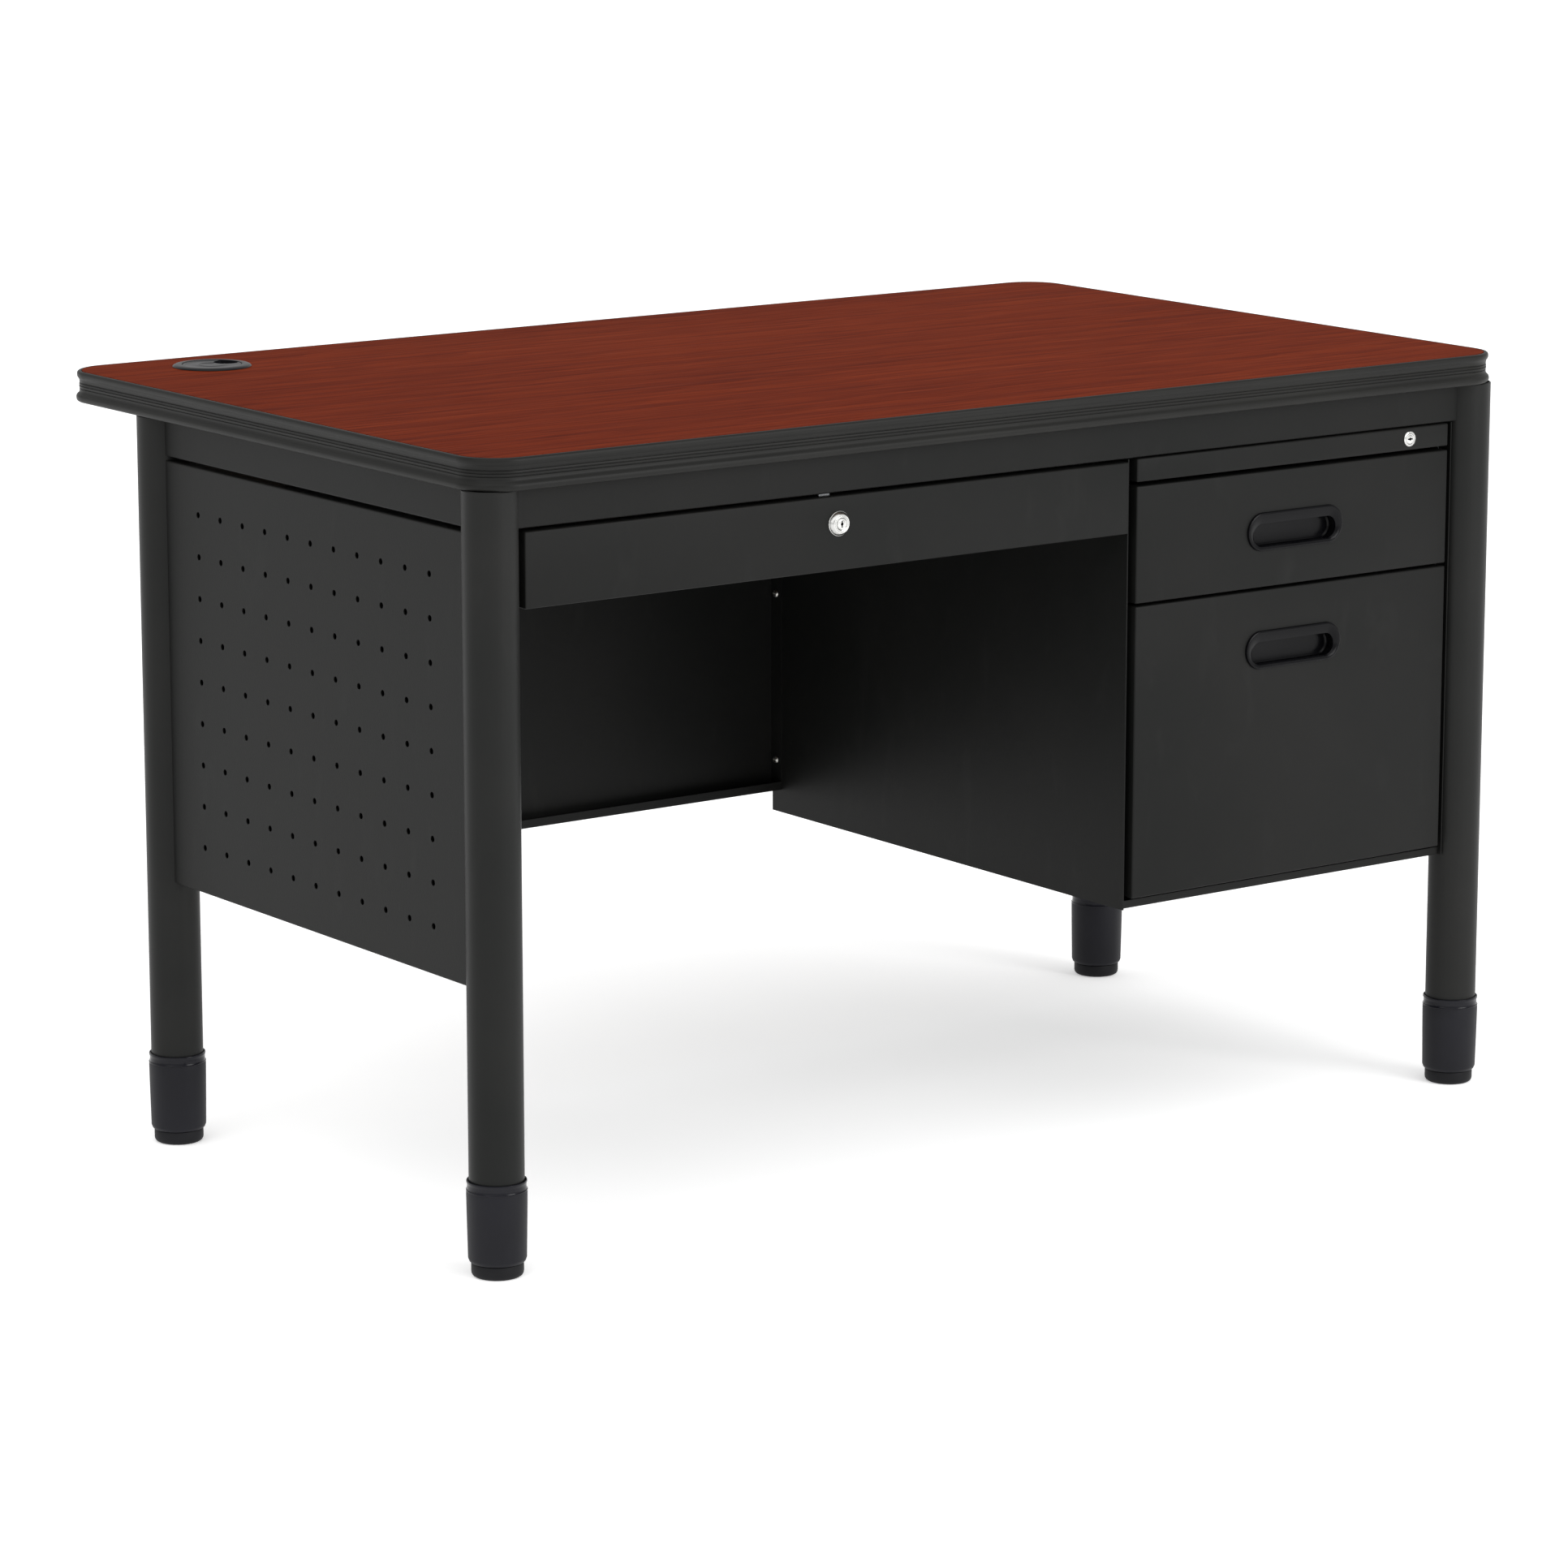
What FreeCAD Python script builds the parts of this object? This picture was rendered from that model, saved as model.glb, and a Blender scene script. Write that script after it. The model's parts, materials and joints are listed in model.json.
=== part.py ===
"""Single-pedestal steel teacher desk, 48 x 29.5 in, on four round legs.

Frame: millimetres, +Z up, +X to the right of the person seated at the desk, -Y towards that
person. The origin is on the floor under the centre of the desktop.
"""
import FreeCAD, Part
import math
import os
import Sketcher

DRIVING_SIZES = [
    ("top_width", 1219.2, "desktop over its edge band, left to right"),
    ("top_depth", 749.3, "desktop over its edge band, front to rear"),
    ("top_height", 749.3, "floor to the writing surface"),
    ("top_thick", 30.0, "desktop with laminate and backer, and the band's height"),
    ("top_corner", 44.0, "plan radius of the desktop's corners at the band's outer lip"),
    ("laminate_thick", 1.0, "decorative sheet on the desktop"),
    ("backer_thick", 0.7, "balancing sheet under the desktop"),
    ("band_reach", 6.0, "lower lip of the edge band beyond the laminate"),
    ("band_upper_reach", 4.8, "upper lip of the edge band beyond the laminate"),
    ("band_waist_reach", 2.6, "waist of the edge band beyond the laminate"),
    ("band_round", 2.8, "rounding of each lip of the edge band"),
    ("band_lip", 6.0, "height of each lip of the edge band"),
    ("band_waist_foot", 10.8, "waist's lower end above the desktop's underside"),
    ("band_waist_drop", 8.8, "waist's upper end below the writing surface"),
    ("leg_radius", 25.4, "outside of the leg tube"),
    ("leg_wall", 1.6, "wall of the leg tube"),
    ("leg_inset_side", 28.0, "leg axis in from the desktop's side edge"),
    ("leg_inset_front", 31.0, "leg axis in from the desktop's front edge"),
    ("leg_inset_rear", 150.65, "leg axis in from the desktop's rear edge"),
    ("skin", 1.2, "sheet steel"),
    ("bend_radius", 1.6, "outside radius of folded edges"),
    ("face_reach", 12.5, "front and rear apron faces outside the leg axes"),
    ("end_reach", 11.4, "left and right apron faces outside the leg axes"),
    ("apron_height", 36.7, "apron below the desktop"),
    ("apron_top_flange", 20.0, "apron flange screwed up into the desktop"),
    ("apron_foot_flange", 10.0, "return along the apron's lower edge"),
    ("panel_gap", 4.2, "shadow gap between an apron and the panel below it"),
    ("panel_height", 413.9, "end and modesty panels"),
    ("panel_flange", 12.0, "return along an end panel's upper and lower edges"),
    ("liner_gap", 0.4, "end panel liners to the panels' returns and to the legs"),
    ("hole_pitch", 40.4, "square grid of the end panel's perforations"),
    ("hole_radius", 3.0, "one perforation"),
    ("hole_columns", 11, "perforations from front to rear"),
    ("hole_rows", 9, "perforations from top to bottom"),
    ("modesty_setback", 1.3, "modesty panel's rear face in front of the rear leg axes"),
    ("modesty_flange", 18.7, "modesty panel's end flanges, turned towards the knee space"),
    ("modesty_lip", 9.0, "up-turned lip on the modesty panel's lower flange"),
    ("sleeve_floor_height", 13.5, "floor to the underside of the plastic leg sleeve"),
    ("sleeve_height", 76.5, "plastic leg sleeve"),
    ("sleeve_floor", 3.0, "bottom wall of the sleeve, under the tube"),
    ("sleeve_top_wall", 2.5, "sleeve body just under its rim"),
    ("sleeve_foot_wall", 1.3, "sleeve body at its lower end"),
    ("rim_height", 9.0, "thin rim at the sleeve's mouth"),
    ("rim_wall", 1.2, "wall of that rim"),
    ("rim_clearance", 1.0, "gap between the rim and the tube"),
    ("insert_height", 20.0, "threaded plug in the tube's lower end"),
    ("foot_radius", 24.0, "levelling foot"),
    ("foot_gap", 0.2, "levelling foot to sleeve when screwed right in"),
    ("foot_round", 4.0, "rounding of the foot's floor edge"),
    ("stem_radius", 4.95, "levelling foot's stem"),
    ("running_gap", 0.05, "radial clearance of everything that turns or slides in a bore"),
    ("stem_length", 36.0, "levelling foot's stem above the foot"),
    ("pedestal_leg_gap", 1.0, "pedestal side to the right-hand legs"),
    ("pedestal_width", 416.7, "drawer pedestal, outside"),
    ("pedestal_setback", 2.15, "pedestal side edges behind the apron face"),
    ("pedestal_rear_setback", 3.3, "pedestal's rear edge in front of the rear leg axes"),
    ("pedestal_sill", 10.8, "pedestal's underside below the file drawer front"),
    ("pedestal_top_gap", 2.0, "pedestal to the underside of the desktop"),
    ("pedestal_notch", 12.15, "clearance notch for the front apron, behind the apron face"),
    ("front_proud", 1.85, "drawer faces in front of the apron face"),
    ("front_depth", 16.0, "folded depth of drawer fronts and of the lock rail"),
    ("reveal", 8.2, "drawer front to the pedestal's outer face, each side"),
    ("rail_gap", 1.0, "apron to lock rail"),
    ("rail_height", 22.6, "lock rail over the box drawer"),
    ("rail_drawer_gap", 4.0, "lock rail to box drawer"),
    ("box_front_height", 113.8, "box drawer front"),
    ("drawer_gap", 2.9, "box drawer to file drawer"),
    ("file_front_height", 286.8, "file drawer front"),
    ("centre_gap", 3.0, "apron to centre drawer"),
    ("centre_front_height", 69.4, "centre drawer front"),
    ("centre_side_gap", 2.2, "centre drawer front to the leg and to the pedestal"),
    ("tray_wall", 1.0, "sheet of the drawer trays"),
    ("tray_length", 500.0, "pedestal drawer trays"),
    ("box_tray_drop", 15.0, "box drawer tray's rim below its front's upper edge"),
    ("file_tray_drop", 38.0, "file drawer tray's rim below its front's upper edge"),
    ("tray_lift", 4.8, "tray bottoms above the lower edges of their fronts"),
    ("slide_space", 12.7, "room for a telescopic slide on each side of a tray"),
    ("slide_height", 45.0, "cabinet member of a pedestal slide"),
    ("slide_start", 33.0, "slides behind the drawer faces"),
    ("slide_length", 480.0, "every member of a pedestal slide"),
    ("slide_step", 1.7, "each nested slide member inside the one around it"),
    ("centre_tray_length", 400.0, "centre drawer tray"),
    ("centre_tray_height", 46.0, "centre drawer tray"),
    ("centre_slide_height", 30.0, "fixed member of the centre drawer's slides"),
    ("centre_slide_length", 380.0, "both members of the centre drawer's slides"),
    ("centre_slide_gap", 3.0, "centre drawer hangers to the front's ends"),
    ("hanging_rail_height", 12.0, "rail for hanging folders"),
    ("hanging_rail_thick", 2.0, "rail for hanging folders"),
    ("pull_length", 122.0, "recessed drawer pull, over its rim"),
    ("pull_height", 38.0, "recessed drawer pull, over its rim"),
    ("pull_drop", 40.0, "drawer pull's rim below the drawer front's upper edge"),
    ("pull_proud", 2.6, "drawer pull's rim in front of the drawer face"),
    ("pull_mouth_length", 107.0, "finger opening of the drawer pull"),
    ("pull_mouth_height", 23.0, "finger opening of the drawer pull"),
    ("pull_cup_depth", 14.0, "drawer pull's cup behind the drawer face"),
    ("pull_wall", 1.5, "moulded wall of the drawer pull"),
    ("plug_radius", 5.5, "key plug of both locks"),
    ("plug_proud", 0.4, "key plug in front of its housing"),
    ("key_slot_length", 6.4, "keyhole"),
    ("key_slot_width", 1.4, "keyhole"),
    ("key_slot_depth", 5.0, "keyhole"),
    ("cam_radius", 9.0, "disc on the rear of each key plug"),
    ("cam_thick", 2.0, "that disc, and the bolt and bar it drives"),
    ("crank", 6.0, "driving pin off the lock's axis, and so the bolt's travel"),
    ("pin_radius", 2.0, "driving pin"),
    ("pin_slack", 1.5, "driving pin's clearance above and below in its slot"),
    ("centre_lock_place", 401.0, "centre lock in from the desktop's left edge"),
    ("centre_lock_drop", 25.6, "centre lock below the centre drawer front's upper edge"),
    ("collar_radius", 11.9, "centre lock's collar at the drawer face"),
    ("collar_face_radius", 8.5, "centre lock's collar at its outer end"),
    ("collar_proud", 5.0, "centre lock's collar"),
    ("housing_radius", 7.5, "lock housings behind the face"),
    ("housing_proud", 0.6, "pedestal lock's rim in front of the lock rail"),
    ("pedestal_lock_place", 51.5, "pedestal lock in from the right end of the drawer fronts"),
    ("bolt_width", 12.0, "centre lock's bolt"),
    ("bolt_gap", 1.6, "centre lock's bolt below the apron when unlocked"),
    ("bar_width", 9.0, "pedestal lock bar, front to rear"),
    ("bar_length", 370.3, "pedestal lock bar below the lock's axis"),
    ("grommet_side", 127.6, "grommet's centre in from the desktop's left edge"),
    ("grommet_rear", 75.65, "grommet's centre in from the desktop's rear edge"),
    ("grommet_radius", 38.5, "grommet flange"),
    ("grommet_flange", 2.5, "grommet flange above the laminate"),
    ("grommet_sleeve_radius", 31.8, "grommet sleeve through the desktop"),
    ("grommet_hole_gap", 0.3, "grommet sleeve in the hole of the desktop"),
    ("grommet_wall", 2.3, "grommet sleeve"),
    ("grommet_ledge", 3.0, "ledge that carries the cap"),
    ("grommet_depth", 24.0, "grommet sleeve below the laminate"),
    ("cap_gap", 0.3, "grommet cap all round"),
    ("cap_thick", 3.6, "grommet cap"),
    ("cable_radius", 12.5, "cable notch in the grommet cap"),
    ("cable_side", 20.4, "cable notch right of the cap's centre"),
    ("cable_rear", 7.2, "cable notch behind the cap's centre"),
    ("screw_radius", 2.1, "shank of the screws"),
    ("screw_head_radius", 4.2, "pan heads of the screws"),
    ("screw_head", 2.2, "pan heads of the screws"),
    ("desktop_screw_length", 17.0, "screws up into the desktop, below the head"),
    ("panel_screw_length", 7.0, "screws through the modesty panel's flanges, below the head"),
]


class Size:
    """A number that carries the sheet expression it comes from."""

    def __init__(self, text, value):
        self.text = text
        self.value = value

    def __add__(self, other):
        other = as_size(other)
        return Size(f"({self.text} + {other.text})", self.value + other.value)

    def __sub__(self, other):
        other = as_size(other)
        return Size(f"({self.text} - {other.text})", self.value - other.value)

    def __mul__(self, other):
        other = as_size(other)
        return Size(f"({self.text} * {other.text})", self.value * other.value)

    def __truediv__(self, other):
        other = as_size(other)
        return Size(f"({self.text} / {other.text})", self.value / other.value)

    def __neg__(self):
        return Size(f"(0 - {self.text})", -self.value)

    def __rsub__(self, other):
        return as_size(other) - self

    __radd__ = __add__
    __rmul__ = __mul__


def as_size(item):
    return item if isinstance(item, Size) else Size(f"{float(item)}", float(item))


class Sizes:
    """The driving sizes, one attribute each, as written to the document's sheet."""

    def __init__(self, document):
        sheet = document.addObject("Spreadsheet::Sheet", "Sizes")
        for row, (alias, value, meaning) in enumerate(DRIVING_SIZES, start=1):
            sheet.set(f"A{row}", alias)
            sheet.set(f"B{row}", str(value))
            sheet.set(f"C{row}", meaning)
            sheet.setAlias(f"B{row}", alias)
            setattr(self, alias, Size(f"Sizes.{alias}", float(value)))


doc = FreeCAD.newDocument("TeacherDesk")
d = Sizes(doc)
doc.recompute()
nodes = []


# ---- drawing and feature helpers ------------------------------------------------------------

class Drawing:
    """A sketch on an origin plane of its body, with every point tied to the sheet."""

    def __init__(self, body, plane, offset):
        self.sketch = body.newObject("Sketcher::SketchObject", "Sketch")
        role = {"XY": "XY_Plane", "XZ": "XZ_Plane", "YZ": "YZ_Plane"}[plane]
        support = [f for f in body.Origin.OriginFeatures if f.Role == role][0]
        self.sketch.AttachmentSupport = [(support, "")]
        self.sketch.MapMode = "FlatFace"
        self.sketch.setExpression("AttachmentOffset.Base.z", as_size(offset).text)

    def tie(self, kind, place, size):
        number = self.sketch.addConstraint(Sketcher.Constraint(kind, *place, size.value))
        self.sketch.setExpression(f"Constraints[{number}]", size.text)

    def pin(self, piece, point, across, up):
        self.tie("DistanceX", (-1, 1, piece, point), as_size(across))
        self.tie("DistanceY", (-1, 1, piece, point), as_size(up))

    def polygon(self, corners):
        corners = [(as_size(a), as_size(b)) for a, b in corners]
        points = [FreeCAD.Vector(a.value, b.value, 0) for a, b in corners]
        first = self.sketch.GeometryCount
        for number, start in enumerate(points):
            end = points[(number + 1) % len(points)]
            self.sketch.addGeometry(Part.LineSegment(start, end), False)
        for number, (across, up) in enumerate(corners):
            following = first + (number + 1) % len(corners)
            joint = Sketcher.Constraint("Coincident", first + number, 2, following, 1)
            self.sketch.addConstraint(joint)
            self.pin(first + number, 1, across, up)

    def rectangle(self, left, right, low, high):
        self.polygon([(left, low), (right, low), (right, high), (left, high)])

    def circle(self, across, up, radius):
        centre = FreeCAD.Vector(as_size(across).value, as_size(up).value, 0)
        ring = Part.Circle(centre, FreeCAD.Vector(0, 0, 1), as_size(radius).value)
        number = self.sketch.addGeometry(ring, False)
        self.pin(number, 3, across, up)
        self.tie("Radius", (number,), as_size(radius))

    def rounded(self, centres, radius):
        """A belt of straight lines round arcs of one radius, centres counter-clockwise."""
        radius = as_size(radius)
        centres = [(as_size(a), as_size(b)) for a, b in centres]
        spots = [FreeCAD.Vector(a.value, b.value, 0) for a, b in centres]
        outward = []
        for number, spot in enumerate(spots):
            run = spots[(number + 1) % len(spots)] - spot
            outward.append(math.atan2(-run.x, run.y))
        first = self.sketch.GeometryCount
        for number, spot in enumerate(spots):
            leaving = outward[number]
            entering = outward[number - 1]
            while entering > leaving:
                entering -= 2 * math.pi
            bow = Part.Circle(spot, FreeCAD.Vector(0, 0, 1), radius.value)
            self.sketch.addGeometry(Part.ArcOfCircle(bow, entering, leaving), False)
        for number, spot in enumerate(spots):
            way = FreeCAD.Vector(math.cos(outward[number]), math.sin(outward[number]), 0)
            reach = way * radius.value
            far = spots[(number + 1) % len(spots)]
            self.sketch.addGeometry(Part.LineSegment(spot + reach, far + reach), False)
        for number, (across, up) in enumerate(centres):
            arc, line = first + number, first + len(spots) + number
            following = first + (number + 1) % len(spots)
            self.pin(arc, 3, across, up)
            self.tie("Radius", (arc,), radius)
            self.sketch.addConstraint(Sketcher.Constraint("Tangent", arc, 2, line, 1))
            self.sketch.addConstraint(Sketcher.Constraint("Tangent", line, 2, following, 1))

    def stadium(self, across, up, length, height):
        half = (length - height) / 2
        self.rounded([(across - half, up), (across + half, up)], height / 2)

    def rounded_rectangle(self, left, right, low, high, radius):
        self.rounded([(left + radius, low + radius), (right - radius, low + radius),
                      (right - radius, high - radius), (left + radius, high - radius)], radius)


def new_body(name, x=0, y=0, z=0):
    """A sub-part; its Label names its file and its Placement puts its own origin in the frame."""
    body = doc.addObject("PartDesign::Body", name)
    body.Label = name
    body.AllowCompound = True
    for axis, place in zip("xyz", (x, y, z)):
        body.setExpression(f"Placement.Base.{axis}", as_size(place).text)
    nodes.append(body)
    return body


SMALLEST_CHANGE = 0.001  # cubic millimetres; rounding alone stays below it


def grow(body, kind, drawing, settings, tied):
    """Adds one sketch-based feature and makes sure that it changed the solid as it should."""
    before = body.Shape.Volume if body.Tip else 0.0
    feature = body.newObject(kind, kind.split("::")[1])
    feature.Profile = drawing.sketch
    for prop, value in settings.items():
        setattr(feature, prop, value)
    for prop, size in tied.items():
        feature.setExpression(prop, as_size(size).text)
    doc.recompute()
    change = body.Shape.Volume - before
    if kind in ("PartDesign::Pocket", "PartDesign::Groove"):
        change = -change
    if change < SMALLEST_CHANGE:
        raise ValueError(f"{body.Label}: {feature.Name} changed the volume by {change:.3f}")
    return feature


def pad(body, plane, low, high, draw):
    """Material between two positions along the plane's axis; draw(drawing) makes the outline."""
    low, high = as_size(low), as_size(high)
    drawing = Drawing(body, plane, -high if plane == "XZ" else low)
    draw(drawing)
    return grow(body, "PartDesign::Pad", drawing, {}, {"Length": high - low})


def pocket(body, plane, low, high, draw):
    """A hole between two positions along the plane's axis."""
    low, high = as_size(low), as_size(high)
    drawing = Drawing(body, plane, -low if plane == "XZ" else high)
    draw(drawing)
    return grow(body, "PartDesign::Pocket", drawing, {}, {"Length": high - low})


def turn(body, plane, corners):
    """A turned part: an outline of (radius, place along the axis) about the plane's V axis."""
    drawing = Drawing(body, plane, 0)
    drawing.polygon(corners)
    axis = {"ReferenceAxis": (drawing.sketch, ["V_Axis"]), "Angle": 360.0}
    return grow(body, "PartDesign::Revolution", drawing, axis, {})


def round_edges(body, radius, chosen):
    """Fillets the edges for which chosen(edge) is true."""
    base = body.Tip
    names = [f"Edge{n}" for n, edge in enumerate(base.Shape.Edges, start=1) if chosen(edge)]
    if not names:
        raise ValueError(f"{body.Label}: no edges to round")
    fillet = body.newObject("PartDesign::Fillet", "Fillet")
    fillet.Base = (base, names)
    fillet.setExpression("Radius", as_size(radius).text)
    doc.recompute()
    return fillet


def box(left, right, low, high):
    return lambda drawing: drawing.rectangle(left, right, low, high)


def at(value, size, slack=1e-4):
    return abs(value - as_size(size).value) < slack


def runs_along(edge, axis):
    """True for a straight edge along the axis named x, y or z."""
    if not isinstance(edge.Curve, Part.Line):
        return False
    return abs(abs(getattr(edge.Curve.Direction, axis)) - 1) < 1e-6


# ---- places shared by the pieces ------------------------------------------------------------

half_width = d.top_width / 2
half_depth = d.top_depth / 2
under_top = d.top_height - d.top_thick
leg_x = half_width - d.leg_inset_side
leg_front_y = d.leg_inset_front - half_depth
leg_rear_y = half_depth - d.leg_inset_rear
LEGS = {
    "front_left": (-leg_x, leg_front_y),
    "front_right": (leg_x, leg_front_y),
    "rear_left": (-leg_x, leg_rear_y),
    "rear_right": (leg_x, leg_rear_y),
}
apron_front = leg_front_y - d.face_reach
apron_rear = leg_rear_y + d.face_reach
end_face = leg_x + d.end_reach
apron_bottom = under_top - d.apron_height
panel_top = apron_bottom - d.panel_gap
panel_bottom = panel_top - d.panel_height
face_y = apron_front - d.front_proud
face_back = face_y + d.front_depth
pedestal_right = leg_x - d.leg_radius - d.pedestal_leg_gap
pedestal_left = pedestal_right - d.pedestal_width
pedestal_front = apron_front + d.pedestal_setback
pedestal_rear = leg_rear_y - d.pedestal_rear_setback
pedestal_top = under_top - d.pedestal_top_gap
inner_left = pedestal_left + d.skin
inner_right = pedestal_right - d.skin
front_left = pedestal_left + d.reveal
front_right = pedestal_right - d.reveal
rail_top = apron_bottom - d.rail_gap
rail_bottom = rail_top - d.rail_height
box_top = rail_bottom - d.rail_drawer_gap
box_bottom = box_top - d.box_front_height
file_top = box_bottom - d.drawer_gap
file_bottom = file_top - d.file_front_height
pedestal_bottom = file_bottom - d.pedestal_sill
centre_top = apron_bottom - d.centre_gap
centre_bottom = centre_top - d.centre_front_height
centre_left = d.leg_radius + d.centre_side_gap - leg_x
centre_right = pedestal_left - d.centre_side_gap
slide_front = face_y + d.slide_start
grommet_x = d.grommet_side - half_width
grommet_y = half_depth - d.grommet_rear


# ---- desktop --------------------------------------------------------------------------------

def desktop_sheet(name, low, high, inset):
    """One layer of the desktop, with the grommet's hole."""
    body = new_body(name)
    x, y = half_width - inset, half_depth - inset
    pad(body, "XY", low, high,
        lambda g: g.rounded_rectangle(-x, x, -y, y, d.top_corner - inset))
    pocket(body, "XY", low, high, lambda g: g.circle(
        grommet_x, grommet_y, d.grommet_sleeve_radius + d.grommet_hole_gap))


laminate_bottom = d.top_height - d.laminate_thick
core_bottom = under_top + d.backer_thick
desktop_sheet("desktop_laminate", laminate_bottom, d.top_height, d.band_reach)
desktop_sheet("desktop_core", core_bottom, laminate_bottom, d.band_reach)
desktop_sheet("desktop_backer_sheet", under_top, core_bottom, d.band_reach)


def edge_band():
    """Moulded vinyl band with two rounded lips and a waist, carried round the desktop."""
    body = new_body("edge_band")
    x, y = half_width - d.band_reach, half_depth - d.band_reach
    path = Drawing(body, "XY", under_top)
    path.rounded_rectangle(-x, x, -y, y, d.top_corner - d.band_reach)
    section = Drawing(body, "YZ", 0)
    section.polygon([
        (-y, under_top),
        (-y - d.band_reach + d.band_round, under_top),
        (-y - d.band_reach, under_top + d.band_round),
        (-y - d.band_reach, under_top + d.band_lip),
        (-y - d.band_waist_reach, under_top + d.band_waist_foot),
        (-y - d.band_waist_reach, d.top_height - d.band_waist_drop),
        (-y - d.band_upper_reach, d.top_height - d.band_lip),
        (-y - d.band_upper_reach, d.top_height - d.band_round),
        (-y - d.band_upper_reach + d.band_round, d.top_height),
        (-y, d.top_height),
    ])
    doc.recompute()
    return grow(body, "PartDesign::AdditivePipe", section,
                {"Spine": path.sketch, "Mode": "Frenet"}, {})


edge_band()


# ---- legs, sleeves and levelling feet -------------------------------------------------------

sleeve_bottom = d.sleeve_floor_height
tube_bottom = sleeve_bottom + d.sleeve_floor
tube_bore = d.leg_radius - d.leg_wall
stem_bore = d.stem_radius + d.running_gap


def leg(corner, x, y):
    body = new_body(f"leg_{corner}", x, y)
    turn(body, "XZ", [(tube_bore, tube_bottom), (d.leg_radius, tube_bottom),
                      (d.leg_radius, under_top), (tube_bore, under_top)])


def leg_sleeve(corner, x, y):
    body = new_body(f"leg_sleeve_{corner}", x, y)
    top = sleeve_bottom + d.sleeve_height
    shoulder = top - d.rim_height
    rim_bore = d.leg_radius + d.rim_clearance
    rim = rim_bore + d.rim_wall
    foot = d.leg_radius + d.sleeve_foot_wall
    chamfer = d.sleeve_foot_wall / 2
    mouth = d.stem_radius + d.sleeve_floor
    turn(body, "XZ", [
        (mouth, sleeve_bottom), (foot - chamfer, sleeve_bottom),
        (foot, sleeve_bottom + chamfer), (d.leg_radius + d.sleeve_top_wall, shoulder - chamfer),
        (rim, shoulder), (rim, top - chamfer), (rim - chamfer, top), (rim_bore, top),
        (rim_bore, shoulder), (d.leg_radius, shoulder), (d.leg_radius, tube_bottom),
        (mouth, tube_bottom)])


def levelling_foot(corner, x, y):
    body = new_body(f"levelling_foot_{corner}", x, y)
    top = sleeve_bottom - d.foot_gap
    turn(body, "XZ", [(0, 0), (d.foot_radius, 0), (d.foot_radius, top), (d.stem_radius, top),
                      (d.stem_radius, top + d.stem_length), (0, top + d.stem_length)])
    round_edges(body, d.foot_round, lambda e: at(e.BoundBox.ZMax, 0) and e.Closed)


for corner, (x, y) in LEGS.items():
    leg(corner, x, y)
    leg_sleeve(corner, x, y)
    levelling_foot(corner, x, y)


def at_every_leg(radius):
    def draw(drawing):
        for x, y in LEGS.values():
            drawing.circle(x, y, radius)
    return draw


def leg_inserts():
    """The plugs that carry the feet's threads, pressed into the tubes."""
    body = new_body("leg_threaded_inserts")
    top = tube_bottom + d.insert_height
    pad(body, "XY", tube_bottom, top, at_every_leg(tube_bore))
    pocket(body, "XY", tube_bottom, top, at_every_leg(stem_bore))


leg_inserts()


# ---- aprons, end panels and modesty panel ---------------------------------------------------

def clear_legs(body, low, high):
    """Cuts a piece back to the leg tubes that it is welded to."""
    pocket(body, "XY", low - 1, high + 1, at_every_leg(d.leg_radius))


def folded(outer, inward, low, high, upper, lower, skin):
    """C section of a skin at outer, with returns along its upper and lower edges."""
    inner = outer + skin * inward
    return [(outer, low), (outer + lower * inward, low), (outer + lower * inward, low + skin),
            (inner, low + skin), (inner, high - skin), (outer + upper * inward, high - skin),
            (outer + upper * inward, high), (outer, high)]


def lies_on(edge, plane, outer):
    bounds = edge.BoundBox
    if plane == "YZ":
        return at(bounds.YMin, outer) and at(bounds.YMax, outer)
    return at(bounds.XMin, outer) and at(bounds.XMax, outer)


def apron(name, plane, outer, inward, end_one, end_two):
    body = new_body(name)
    section = folded(outer, inward, apron_bottom, under_top, d.apron_top_flange,
                     d.apron_foot_flange, d.skin)
    pad(body, plane, end_one, end_two, lambda g: g.polygon(section))
    round_edges(body, d.bend_radius, lambda e: at(e.BoundBox.ZMax, apron_bottom)
                and lies_on(e, plane, outer))
    clear_legs(body, apron_bottom, under_top)
    return body


weld = d.leg_radius / 2
front_apron = apron("front_apron", "YZ", apron_front, 1, weld - leg_x, leg_x - weld)
apron("rear_apron", "YZ", apron_rear, -1, weld - leg_x, leg_x - weld)
apron("left_apron", "XZ", -end_face, 1, leg_front_y + weld, leg_rear_y - weld)
apron("right_apron", "XZ", end_face, -1, leg_front_y + weld, leg_rear_y - weld)


def end_panel(name, outer, inward):
    """Perforated steel end, folded along its upper and lower edges."""
    body = new_body(name)
    section = folded(outer, inward, panel_bottom, panel_top, d.panel_flange,
                     d.panel_flange, d.skin)
    pad(body, "XZ", leg_front_y + weld, leg_rear_y - weld, lambda g: g.polygon(section))
    round_edges(body, d.bend_radius, lambda e: lies_on(e, "XZ", outer) and runs_along(e, "y"))
    clear_legs(body, panel_bottom, panel_top)
    middle_y = (leg_front_y + leg_rear_y) / 2
    first_y = middle_y - d.hole_pitch * (d.hole_columns - 1) / 2
    first_z = (panel_bottom + panel_top - d.hole_pitch * (d.hole_rows - 1)) / 2
    low = outer - 2 * d.skin
    hole = pocket(body, "YZ", low, outer + 2 * d.skin,
                  lambda g: g.circle(first_y, first_z, d.hole_radius))
    repeat(body, hole, ("H_Axis", d.hole_columns), ("V_Axis", d.hole_rows))


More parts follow.
